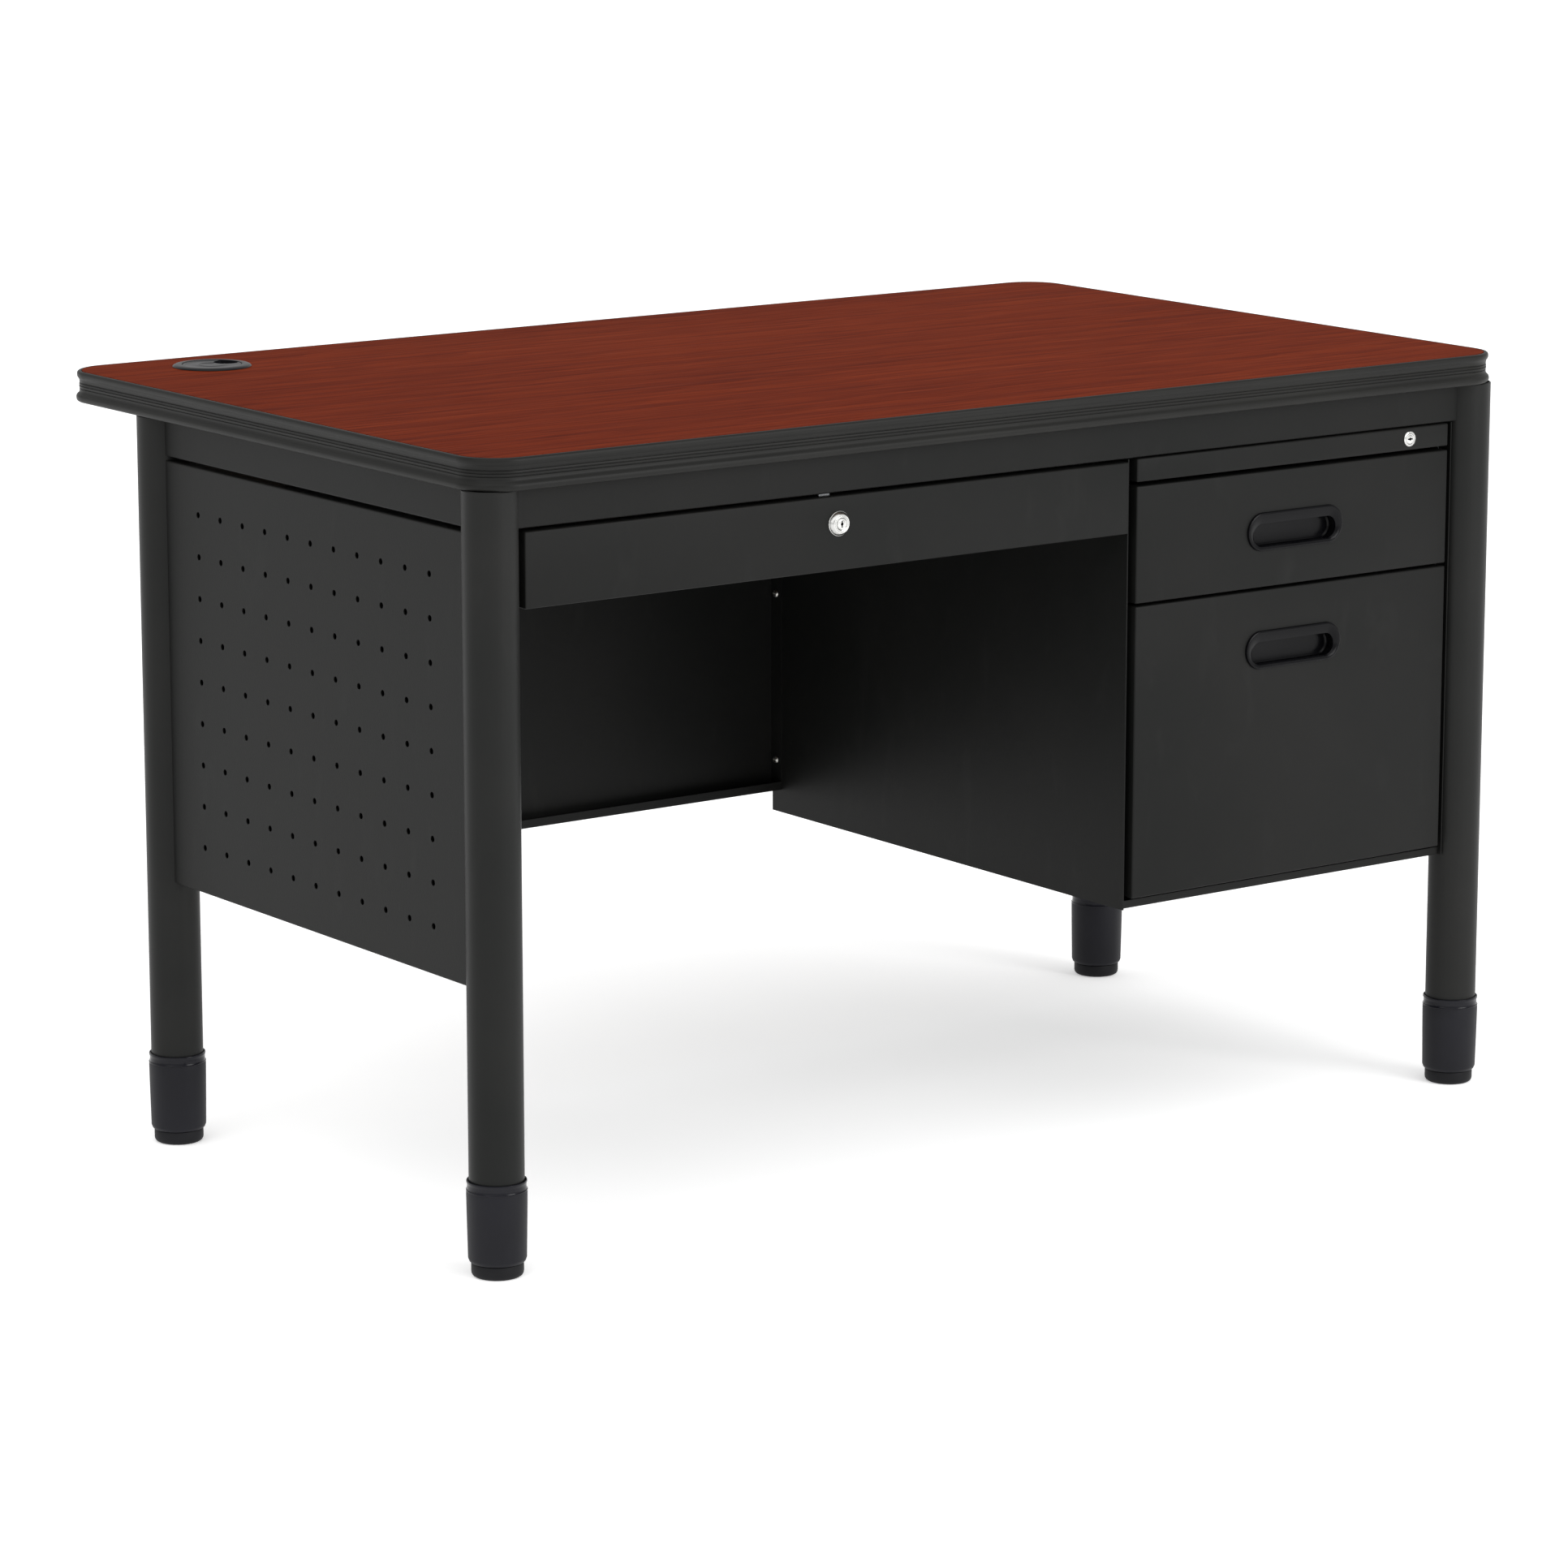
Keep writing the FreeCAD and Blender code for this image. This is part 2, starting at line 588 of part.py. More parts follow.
def repeat(body, feature, *ways):
    """Repeats a feature on a grid: each way is a sketch axis and a count."""
    sketch = feature.Profile[0]
    grid = body.newObject("PartDesign::MultiTransform", "Grid")
    grid.Originals = [feature]
    steps = []
    for axis, count in ways:
        step = doc.addObject("PartDesign::LinearPattern", "Row")
        body.addObject(step)
        step.Direction = (sketch, [axis])
        step.setExpression("Length", (d.hole_pitch * (count - 1)).text)
        step.setExpression("Occurrences", count.text)
        steps.append(step)
    grid.Transformations = steps
    body.Tip = grid
    before = feature.Shape.Volume
    doc.recompute()
    if grid.Shape.Volume >= before:
        raise ValueError(f"{body.Label}: the grid cut nothing")


end_panel("left_end_panel", -end_face, 1)
end_panel("right_end_panel", end_face, -1)

# A plain liner closes each end panel behind its perforations.
liners = new_body("end_panel_liners")
liner_front = leg_front_y + d.leg_radius + d.liner_gap
liner_rear = leg_rear_y - d.leg_radius - d.liner_gap
for outer, inward in ((-end_face, 1), (end_face, -1)):
    near = outer + (d.panel_flange + d.liner_gap) * inward
    left, right = sorted((near, near + d.skin * inward), key=lambda size: size.value)
    pad(liners, "XY", panel_bottom, panel_top, box(left, right, liner_front, liner_rear))

modesty_rear = leg_rear_y - d.modesty_setback
modesty_front = modesty_rear - d.modesty_flange
modesty_left = d.leg_radius - leg_x


def modesty_panel():
    """Closes the rear of the knee space, between the left rear leg and the pedestal."""
    body = new_body("modesty_panel")
    right = pedestal_left
    pad(body, "XY", panel_bottom, panel_top, lambda g: g.polygon([
        (modesty_left, modesty_front), (modesty_left + d.skin, modesty_front),
        (modesty_left + d.skin, modesty_rear - d.skin), (right - d.skin, modesty_rear - d.skin),
        (right - d.skin, modesty_front), (right, modesty_front), (right, modesty_rear),
        (modesty_left, modesty_rear)]))
    pad(body, "XY", panel_bottom, panel_bottom + d.skin,
        box(modesty_left, right, modesty_front, modesty_rear))
    pad(body, "XY", panel_bottom, panel_bottom + d.modesty_lip,
        box(modesty_left + d.skin, right - d.skin, modesty_front, modesty_front + d.skin))
    round_edges(body, d.bend_radius, lambda e: at(e.BoundBox.ZMax, panel_bottom)
                and runs_along(e, "x") and e.Length > 100)


modesty_panel()


# ---- pedestal -------------------------------------------------------------------------------

def pedestal_side(name, outer, inward):
    body = new_body(name)
    inner = outer + d.skin * inward
    sheet = sorted((outer, inner), key=lambda size: size.value)
    notch_y = apron_front + d.pedestal_notch
    pad(body, "YZ", sheet[0], sheet[1], lambda g: g.polygon([
        (pedestal_front, pedestal_bottom), (pedestal_rear, pedestal_bottom),
        (pedestal_rear, pedestal_top), (notch_y, pedestal_top),
        (notch_y, rail_top), (pedestal_front, rail_top)]))
    flange = sorted((inner, inner + d.panel_flange * inward), key=lambda size: size.value)
    pad(body, "XY", pedestal_top - d.skin, pedestal_top,
        box(flange[0], flange[1], notch_y, pedestal_rear - 2 * d.panel_flange))
    return body


pedestal_side("pedestal_left_side", pedestal_left, 1)
pedestal_side("pedestal_right_side", pedestal_right, -1)

back = new_body("pedestal_back")
pad(back, "XZ", pedestal_rear - d.skin, pedestal_rear,
    box(inner_left, inner_right, pedestal_bottom, pedestal_top))

floor_pan = new_body("pedestal_bottom_pan")
pan_front = face_y + d.front_depth / 2
pad(floor_pan, "XY", pedestal_bottom, pedestal_bottom + d.skin,
    box(inner_left, inner_right, pan_front, pedestal_rear - d.skin))
pad(floor_pan, "XZ", pan_front, pan_front + d.skin,
    box(inner_left, inner_right, pedestal_bottom, file_bottom - d.drawer_gap))
round_edges(floor_pan, d.bend_radius, lambda e: at(e.BoundBox.ZMax, pedestal_bottom)
            and at(e.BoundBox.YMax, pan_front))


def folded_front(name, left, right, low, high):
    """A face with returns on all four sides, open at the rear."""
    body = new_body(name)
    pad(body, "XZ", face_y, face_back, box(left, right, low, high))
    round_edges(body, d.bend_radius, lambda e: at(e.BoundBox.YMin, face_y))
    pocket_from_rear(body, face_y + d.skin, face_back,
                     box(left + d.skin, right - d.skin, low + d.skin, high - d.skin))
    return body


def pocket_from_rear(body, low, high, draw):
    """A hollow in the rear of a front, from y = high forward to y = low."""
    drawing = Drawing(body, "XZ", -high)
    draw(drawing)
    return grow(body, "PartDesign::Pocket", drawing, {"Reversed": True}, {"Length": high - low})


lock_x = front_right - d.pedestal_lock_place
lock_z = (rail_top + rail_bottom) / 2
lock_rail = folded_front("lock_rail", front_left, front_right, rail_bottom, rail_top)
pad(lock_rail, "XZ", face_back, face_back + d.skin,
    box(inner_left, inner_right, rail_bottom, rail_top))
pocket(lock_rail, "XZ", face_y - 1, face_back + 2 * d.skin,
       lambda g: g.circle(lock_x, lock_z, d.housing_radius))


# ---- drawer slides --------------------------------------------------------------------------

def channel(web, depth, middle, height, opens):
    """C section of a slide member; opens is 1 towards +X and -1 towards -X."""
    low, high = middle - height / 2, middle + height / 2
    inner, lip = web + d.skin * opens, web + depth * opens
    corners = [(web, low), (lip, low), (lip, low + d.skin), (inner, low + d.skin),
               (inner, high - d.skin), (lip, high - d.skin), (lip, high), (web, high)]
    return corners if opens > 0 else corners[::-1]


def slide_members(drawer, middle):
    """Cabinet, middle and drawer members of both slides of a pedestal drawer."""
    depth = d.slide_space - 2 * d.slide_step
    for step, part in enumerate(("cabinet", "middle", "drawer")):
        body = new_body(f"{drawer}_slide_{part}_members")
        height = d.slide_height - 2 * step * (d.skin + d.slide_step / 2)
        if part == "drawer":
            webs = [(inner_left + d.slide_space, -1), (inner_right - d.slide_space, 1)]
        else:
            webs = [(inner_left + d.slide_step * step, 1),
                    (inner_right - d.slide_step * step, -1)]

        def draw(drawing):
            for web, opens in webs:
                drawing.polygon(channel(web, depth, middle, height, opens))
        pad(body, "XZ", slide_front, slide_front + d.slide_length, draw)


box_slide_z = (box_top + box_bottom) / 2
file_slide_z = (file_top + file_bottom) / 2
slide_members("box", box_slide_z)
slide_members("file", file_slide_z)

# The centre drawer hangs from two folded rails under the desktop.
hanger_left = centre_left + d.centre_slide_gap
hanger_right = centre_right - d.centre_slide_gap
centre_slide_z = centre_bottom + d.tray_lift + d.centre_tray_height / 2
centre_slide_depth = d.slide_space - d.slide_step - d.skin


def centre_hangers():
    body = new_body("centre_slide_hangers")
    low = centre_slide_z + d.centre_slide_height / 2 - d.skin
    webs = ((hanger_left, 1), (hanger_right, -1))

    def rails(drawing):
        for web, opens in webs:
            drawing.polygon(channel(web, centre_slide_depth, centre_slide_z,
                                    d.centre_slide_height, opens))

    def straps(drawing):
        for web, opens in webs:
            tip, inner = web + d.panel_flange * opens, web + d.skin * opens
            corners = [(web, low), (inner, low), (inner, under_top - d.skin),
                       (tip, under_top - d.skin), (tip, under_top), (web, under_top)]
            drawing.polygon(corners if opens > 0 else corners[::-1])
    pad(body, "XZ", slide_front, slide_front + d.centre_slide_length, rails)
    pad(body, "XZ", slide_front, slide_front + d.centre_slide_length, straps)


def centre_runners():
    body = new_body("centre_drawer_runners")
    height = d.centre_slide_height - 2 * (d.skin + d.slide_step / 2)

    def draw(drawing):
        for web, opens in ((hanger_left + d.slide_space, -1), (hanger_right - d.slide_space, 1)):
            drawing.polygon(channel(web, centre_slide_depth, centre_slide_z, height, opens))
    pad(body, "XZ", slide_front, slide_front + d.centre_slide_length, draw)


centre_hangers()
centre_runners()


# ---- drawers --------------------------------------------------------------------------------

def tray(name, left, right, length, low, high):
    """Open-topped tray behind a drawer front: a folded bottom with sides, and two end plates."""
    wall = d.tray_wall
    rear = face_back + length
    body = new_body(name)
    pad(body, "XZ", face_back, rear, lambda g: g.polygon([
        (left, low), (right, low), (right, high), (right - wall, high), (right - wall, low + wall),
        (left + wall, low + wall), (left + wall, high), (left, high)]))
    ends = new_body(f"{name}_ends")
    for y in (face_back, rear - wall):
        pad(ends, "XZ", y, y + wall, box(left + wall, right - wall, low + wall, high))


def pull_centre(top):
    return top - d.pull_drop - d.pull_height / 2


def drawer_pull(name, top):
    """Moulded pull: a rim on the drawer face and a cup for the fingers behind it."""
    body = new_body(name)
    x, z = (front_left + front_right) / 2, pull_centre(top)
    rim = d.pull_height - 4 * d.pull_wall
    back_y = face_y + d.pull_cup_depth
    pad(body, "XZ", face_y, back_y,
        lambda g: g.stadium(x, z, d.pull_length - 4 * d.pull_wall, rim))
    pad(body, "XZ", face_y - d.pull_proud, face_y,
        lambda g: g.stadium(x, z, d.pull_length, d.pull_height))
    round_edges(body, d.pull_wall, lambda e: at(e.BoundBox.YMax, face_y - d.pull_proud))
    mouth_z = z - (rim - d.pull_mouth_height) / 2 + d.pull_wall
    pocket(body, "XZ", face_y - d.pull_proud - 1, back_y - d.pull_wall,
           lambda g: g.stadium(x, mouth_z, d.pull_mouth_length, d.pull_mouth_height))
    return x, z, rim


def pedestal_drawer(name, low, high, drop):
    front = folded_front(f"{name}_front", front_left, front_right, low, high)
    x, z, rim = drawer_pull(f"{name}_pull", high)
    pocket(front, "XZ", face_y - 1, face_y + 2 * d.skin,
           lambda g: g.stadium(x, z, d.pull_length - 4 * d.pull_wall, rim))
    tray(f"{name}_tray", inner_left + d.slide_space, inner_right - d.slide_space,
         d.tray_length, low + d.tray_lift, high - drop)


pedestal_drawer("box_drawer", box_bottom, box_top, d.box_tray_drop)
pedestal_drawer("file_drawer", file_bottom, file_top, d.file_tray_drop)


def hanging_rails():
    """Rails for hanging folders, along the upper edges of the file drawer tray."""
    body = new_body("file_drawer_hanging_rails")
    top = file_top - d.file_tray_drop
    left = inner_left + d.slide_space + d.tray_wall
    right = inner_right - d.slide_space - d.tray_wall
    low = top - d.hanging_rail_height

    def draw(drawing):
        drawing.rectangle(left, left + d.hanging_rail_thick, low, top)
        drawing.rectangle(right - d.hanging_rail_thick, right, low, top)
    pad(body, "XZ", face_back + d.tray_wall, face_back + d.tray_length - d.tray_wall, draw)


hanging_rails()

centre_front = folded_front("centre_drawer_front", centre_left, centre_right,
                            centre_bottom, centre_top)
tray("centre_drawer_tray", hanger_left + d.slide_space, hanger_right - d.slide_space,
     d.centre_tray_length, centre_bottom + d.tray_lift,
     centre_bottom + d.tray_lift + d.centre_tray_height)


# ---- locks ----------------------------------------------------------------------------------

def key_plug(name, x, z, proud, length, pin_way, upright):
    """Key plug with its keyhole, and on its rear the disc and pin that drive a bolt.

    proud is how far the plug stands in front of the drawer faces and length how far it reaches
    behind them; pin_way is 1 or -1 for a pin to the right or left of the axis.
    """
    body = new_body(name, x, face_y, z)
    turn(body, "XY", [(0, -proud), (d.plug_radius, -proud), (d.plug_radius, length),
                      (d.cam_radius, length), (d.cam_radius, length + d.cam_thick),
                      (0, length + d.cam_thick)])
    rear = length + d.cam_thick
    pad(body, "XZ", rear, rear + 2 * d.cam_thick,
        lambda g: g.circle(pin_way * d.crank, 0, d.pin_radius))
    across = (d.key_slot_width if upright else d.key_slot_length) / 2
    tall = (d.key_slot_length if upright else d.key_slot_width) / 2
    pocket(body, "XZ", -proud, d.key_slot_depth - proud, box(-across, across, -tall, tall))


centre_lock_x = d.centre_lock_place - half_width
centre_lock_z = centre_top - d.centre_lock_drop
plug_bore = d.plug_radius + d.running_gap
cam_room = d.skin + d.cam_thick + d.running_gap
centre_plug_length = d.front_depth - cam_room - 2 * d.cam_thick - 1
pocket(centre_front, "XZ", face_y - 1, face_y + 2 * d.skin,
       lambda g: g.circle(centre_lock_x, centre_lock_z, d.housing_radius))

collar = new_body("centre_lock_collar", centre_lock_x, face_y, centre_lock_z)
turn(collar, "XY", [
    (plug_bore, -d.collar_proud), (d.collar_face_radius, -d.collar_proud), (d.collar_radius, 0),
    (d.housing_radius, 0), (d.housing_radius, centre_plug_length - d.running_gap),
    (plug_bore, centre_plug_length - d.running_gap)])
key_plug("centre_lock_plug", centre_lock_x, centre_lock_z, d.collar_proud + d.plug_proud,
         centre_plug_length, -1, True)

pin_room = d.pin_radius + d.pin_slack
bolt_front = centre_plug_length + d.cam_thick + d.running_gap


def centre_bolt():
    """Flat bolt behind the disc, raised behind the apron's face when the key is turned."""
    body = new_body("centre_lock_bolt", centre_lock_x, face_y, centre_lock_z)
    foot = -pin_room - d.cam_thick
    shoulder = pin_room + d.cam_thick
    left = -(d.crank + pin_room + d.bolt_width / 2)
    tip = apron_bottom - d.bolt_gap - centre_lock_z
    rear = bolt_front + d.cam_thick
    pad(body, "XZ", bolt_front, rear, lambda g: g.polygon([
        (left, foot), (shoulder, foot), (shoulder, shoulder),
        (left + d.bolt_width, shoulder), (left + d.bolt_width, tip), (left, tip)]))
    pocket(body, "XZ", bolt_front, rear,
           box(-d.crank - pin_room, pin_room, -pin_room, pin_room))
    slot_left = centre_lock_x + left - d.bolt_gap
    slot_right = slot_left + d.bolt_width + 2 * d.bolt_gap
    slot = (slot_left, slot_right, face_y + bolt_front - d.bolt_gap, face_y + rear + d.bolt_gap)
    pocket(centre_front, "XY", centre_top - 2 * d.skin, centre_top + 1, box(*slot))
    pocket(front_apron, "XY", apron_bottom - 1, apron_bottom + 2 * d.skin, box(*slot))


centre_bolt()

housing_end = d.front_depth + 2 * d.skin
housing = new_body("pedestal_lock_housing", lock_x, face_y, lock_z)
turn(housing, "XY", [
    (plug_bore, -d.housing_proud), (d.housing_radius, -d.housing_proud),
    (d.housing_radius, housing_end), (plug_bore, housing_end)])
key_plug("pedestal_lock_plug", lock_x, lock_z, d.housing_proud + d.plug_proud,
         housing_end + d.running_gap, 1, False)


def lock_bar():
    """Strip along the pedestal's right side, outside the slides, lifted by the lock's pin."""
    body = new_body("pedestal_lock_bar")
    front = face_y + housing_end + 2 * d.running_gap + d.cam_thick
    right = inner_right - (d.slide_step - d.skin) / 2
    reach = lock_x - pin_room - d.cam_thick
    low, high = lock_z - pin_room - d.cam_thick, lock_z + pin_room + d.cam_thick
    pad(body, "XZ", front, front + d.cam_thick, box(reach, right, low, high))
    pad(body, "XY", lock_z - d.bar_length, high,
        box(right - d.skin, right, front, front + d.bar_width))
    pocket(body, "XZ", front, front + d.cam_thick,
           box(lock_x - pin_room, lock_x + d.crank + pin_room,
               lock_z - pin_room, lock_z + pin_room))


lock_bar()


# ---- grommet --------------------------------------------------------------------------------

cap_radius = d.grommet_sleeve_radius - d.grommet_wall - d.cap_gap
cap_top = d.grommet_flange - d.cap_gap
cap_bottom = cap_top - d.cap_thick


def grommet_ring():
    """Flange and sleeve, with the ledge that carries the cap."""
    body = new_body("grommet_ring", grommet_x, grommet_y, d.top_height)
    bore = d.grommet_sleeve_radius - d.grommet_wall
    ledge = cap_bottom - d.cap_gap
    soft = d.grommet_flange / 2
    turn(body, "XZ", [
        (bore, d.grommet_flange), (d.grommet_radius - soft, d.grommet_flange),
        (d.grommet_radius, soft), (d.grommet_radius, 0), (d.grommet_sleeve_radius, 0),
        (d.grommet_sleeve_radius, -d.grommet_depth), (bore, -d.grommet_depth),
        (bore, ledge - d.grommet_ledge), (bore - d.grommet_ledge, ledge - d.grommet_ledge / 2),
        (bore - d.grommet_ledge, ledge), (bore, ledge)])


def grommet_cap():
    """Lift-off cap with a notch for cables in its edge."""
    body = new_body("grommet_cap", grommet_x, grommet_y, d.top_height)
    pad(body, "XY", cap_bottom, cap_top, lambda g: g.circle(0, 0, cap_radius))
    pocket(body, "XY", cap_bottom, cap_top,
           lambda g: g.circle(d.cable_side, d.cable_rear, d.cable_radius))


grommet_ring()
grommet_cap()


# ---- screws ---------------------------------------------------------------------------------

# Places as shares of a piece's half length, of an end and of a panel's height.
LONG_APRON_SCREWS = (-0.7, -0.1, 0.85)
SHORT_APRON_SCREWS = (0.25, 0.75)
PANEL_SCREWS = (0.075, 0.5, 0.925)


def desktop_screws():
    """Pan-head screws through the apron flanges into the desktop."""
    body = new_body("desktop_screws")
    flange = (d.apron_top_flange + d.skin) / 2
    seat = under_top - d.skin
    spots = []
    for y in (apron_front + flange, apron_rear - flange):
        spots += [(leg_x * share, y) for share in LONG_APRON_SCREWS]
    for x in (flange - end_face, end_face - flange):
        spots += [(x, leg_front_y + (leg_rear_y - leg_front_y) * share)
                  for share in SHORT_APRON_SCREWS]

    def circles(radius):
        def draw(drawing):
            for x, y in spots:
                drawing.circle(x, y, radius)
        return draw
    pad(body, "XY", seat - d.screw_head, seat, circles(d.screw_head_radius))
    pad(body, "XY", seat, seat + d.desktop_screw_length, circles(d.screw_radius))


def panel_screws():
    """Pan-head screws through the modesty panel's end flanges."""
    body = new_body("modesty_panel_screws")
    y = modesty_front + d.modesty_flange / 2
    spread = panel_top - panel_bottom
    heights = [panel_bottom + spread * share for share in PANEL_SCREWS]
    ends = ((pedestal_left - d.skin, 1), (modesty_left + d.skin, -1))

    def circles(radius):
        def draw(drawing):
            for z in heights:
                drawing.circle(y, z, radius)
        return draw
    for seat, way in ends:
        for radius, start, length in ((d.screw_head_radius, seat, -way * d.screw_head),
                                      (d.screw_radius, seat, way * d.panel_screw_length)):
            low, high = sorted((start, start + length), key=lambda size: size.value)
            pad(body, "YZ", low, high, circles(radius))


desktop_screws()
panel_screws()


# ---- checks and export ----------------------------------------------------------------------

doc.recompute()
for item in doc.Objects:
    if "Invalid" in item.State or "Error" in item.State:
        raise ValueError(f"{item.Name} ({item.Label}) is in state {item.State}")
for body in nodes:
    if body.Shape.isNull() or not body.Shape.isValid() or body.Shape.Volume <= 0:
        raise ValueError(f"{body.Label} has no valid shape")

os.makedirs("parts", exist_ok=True)
for body in nodes:
    body.Shape.exportStep(f"parts/{body.Label}.step")
print(f"{len(nodes)} sub-parts written")
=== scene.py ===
import json
import math
import bmesh
import bpy
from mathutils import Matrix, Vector


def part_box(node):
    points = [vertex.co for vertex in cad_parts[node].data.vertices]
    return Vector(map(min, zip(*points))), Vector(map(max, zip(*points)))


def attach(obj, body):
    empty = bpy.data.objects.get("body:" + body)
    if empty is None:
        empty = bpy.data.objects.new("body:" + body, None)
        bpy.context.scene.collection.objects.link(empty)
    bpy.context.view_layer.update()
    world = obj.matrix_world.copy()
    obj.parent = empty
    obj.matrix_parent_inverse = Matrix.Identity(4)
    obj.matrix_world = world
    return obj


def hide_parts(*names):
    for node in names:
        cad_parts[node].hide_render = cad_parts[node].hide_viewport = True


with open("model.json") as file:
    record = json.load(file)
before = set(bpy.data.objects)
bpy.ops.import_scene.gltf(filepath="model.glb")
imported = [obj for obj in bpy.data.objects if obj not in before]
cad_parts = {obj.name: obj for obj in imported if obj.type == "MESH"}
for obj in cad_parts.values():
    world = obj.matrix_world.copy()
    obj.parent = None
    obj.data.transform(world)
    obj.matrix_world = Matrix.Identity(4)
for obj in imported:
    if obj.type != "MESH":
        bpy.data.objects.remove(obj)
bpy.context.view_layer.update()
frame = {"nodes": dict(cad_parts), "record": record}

scene = bpy.context.scene
scene.view_settings.view_transform = "Standard"
print("frame loaded:", len(frame["nodes"]), "nodes")


# Camera, floor and lights

cameraSettings = {
    "place": (-3.3129, -4.5087, 1.5026),
    "turn": 36.238,      # degrees right of +Y
    "tilt": -11.907,
    "lens": 131.32,
}

cameraData = bpy.data.cameras.new("deskCamera")
cameraData.sensor_width = 36
cameraData.lens = cameraSettings["lens"]
camera = bpy.data.objects.new("deskCamera", cameraData)
camera.location = cameraSettings["place"]
camera.rotation_euler = (math.radians(90 + cameraSettings["tilt"]), 0,
                         -math.radians(cameraSettings["turn"]))
scene.collection.objects.link(camera)
scene.camera = camera

studio = {
    "worldColour": (1.0, 1.0, 1.0),
    "worldStrength": 0.70,
    "sunStrength": 1.0,
    "sunSpread": 70,     # degrees, very soft
    "softboxes": [       # name, place, aim, size, watts
        ("leftBox", (-4.2, -1.6, 2.3), (-0.4, -0.1, 0.4), 2.2, 14),
        ("frontBox", (1.6, -4.6, 2.2), (0.2, -0.2, 0.5), 2.4, 100),
    ],
    "floorColour": (0.93, 0.93, 0.93),
    "floorGlow": 0.38,
}

world = bpy.data.worlds.new("studio")
scene.world = world
world.use_nodes = True
world.node_tree.nodes["Background"].inputs["Color"].default_value = (*studio["worldColour"], 1)
world.node_tree.nodes["Background"].inputs["Strength"].default_value = studio["worldStrength"]


def addLight(name, kind, place, aim):
    data = bpy.data.lights.new(name, kind)
    light = bpy.data.objects.new(name, data)
    light.location = place
    light.rotation_euler = (Vector(aim) - Vector(place)).to_track_quat("-Z", "Y").to_euler()
    scene.collection.objects.link(light)
    return data


sun = addLight("softSun", "SUN", (-1.5, -2.0, 5.0), (0, 0, 0))
sun.energy = studio["sunStrength"]
sun.angle = math.radians(studio["sunSpread"])
for name, place, aim, size, watts in studio["softboxes"]:
    softbox = addLight(name, "AREA", place, aim)
    softbox.shape = "SQUARE"
    softbox.size = size
    softbox.energy = watts


# Selecting and drawing

mergeDistance = 1e-5


def deselectAll():
    if bpy.context.object and bpy.context.object.mode != "OBJECT":
        bpy.ops.object.mode_set(mode="OBJECT")
    bpy.ops.object.select_all(action="DESELECT")


def pick(piece):
    deselectAll()
    piece.select_set(True)
    bpy.context.view_layer.objects.active = piece


def openMesh(piece, mode="FACE"):
    pick(piece)
    bpy.ops.object.mode_set(mode="EDIT")
    bpy.ops.mesh.select_mode(type=mode)
    bpy.ops.mesh.select_all(action="DESELECT")


def closeMesh(clean=False):
    if clean:
        bpy.ops.mesh.select_all(action="SELECT")
        bpy.ops.mesh.remove_doubles(threshold=mergeDistance)
        bpy.ops.mesh.normals_make_consistent(inside=False)
    bpy.ops.object.mode_set(mode="OBJECT")


def choose(mode, test):
    # selects what test(place, direction) accepts: a face's normal or an edge's run
    bpy.ops.mesh.select_mode(type=mode)
    bpy.ops.mesh.select_all(action="DESELECT")
    mesh = bpy.context.edit_object.data
    shape = bmesh.from_edit_mesh(mesh)
    if mode == "FACE":
        for face in shape.faces:
            if test(face.calc_center_median(), face.normal):
                face.select_set(True)
    elif mode == "EDGE":
        for edge in shape.edges:
            start, end = edge.verts[0].co, edge.verts[1].co
            if test((start + end) / 2, (end - start).normalized()):
                edge.select_set(True)
    else:
        for vert in shape.verts:
            if test(vert.co, None):
                vert.select_set(True)
    shape.select_flush_mode()
    bmesh.update_edit_mesh(mesh)


def move(x=0.0, y=0.0, z=0.0):
    bpy.ops.transform.translate(value=(x, y, z))


def extrude(x=0.0, y=0.0, z=0.0):
    bpy.ops.mesh.extrude_region_move(TRANSFORM_OT_translate={"value": (x, y, z)})


def drawLine(name, points):
    # a chain of edges through the points, left in edit mode with all of it selected
    deselectAll()
    bpy.ops.mesh.primitive_plane_add(size=0.001)
    piece = bpy.context.object
    piece.name = piece.data.name = name
    openMesh(piece, "VERT")
    bpy.ops.mesh.select_all(action="SELECT")
    bpy.ops.mesh.merge(type="CENTER")
    move(*points[0])
    for start, end in zip(points, points[1:]):
        step = Vector(end) - Vector(start)
        bpy.ops.mesh.extrude_vertices_move(TRANSFORM_OT_translate={"value": step})
    bpy.ops.mesh.select_all(action="SELECT")
    return piece


def turned(name, profile, centre, axis="Z", steps=96):
    # profile: (radius, distance along the axis), spun all the way round
    cx, cy, cz = centre
    if axis == "Z":
        points = [(cx + r, cy, cz + h) for r, h in profile]
        about = (0, 0, 1)
    elif axis == "Y":
        points = [(cx + r, cy + h, cz) for r, h in profile]
        about = (0, 1, 0)
    else:
        points = [(cx + h, cy + r, cz) for r, h in profile]
        about = (1, 0, 0)
    piece = drawLine(name, points)
    bpy.ops.mesh.spin(steps=steps, angle=2 * math.pi, center=centre, axis=about)
    closeMesh(clean=True)
    return piece


def block(name, low, high):
    deselectAll()
    size = [b - a for a, b in zip(low, high)]
    middle = [(a + b) / 2 for a, b in zip(low, high)]
    bpy.ops.mesh.primitive_cube_add(size=1, location=middle)
    piece = bpy.context.object
    piece.name = piece.data.name = name
    piece.scale = size
    bpy.ops.object.transform_apply(location=True, rotation=True, scale=True)
    return piece


def disc(name, centre, radius, depth, axis="Z", sides=64):
    deselectAll()
    turns = {"Z": (0, 0, 0), "Y": (math.pi / 2, 0, 0), "X": (0, math.pi / 2, 0)}
    bpy.ops.mesh.primitive_cylinder_add(vertices=sides, radius=radius, depth=depth,
                                        location=centre, rotation=turns[axis])
    piece = bpy.context.object
    piece.name = piece.data.name = name
    bpy.ops.object.transform_apply(location=True, rotation=True, scale=True)
    return piece


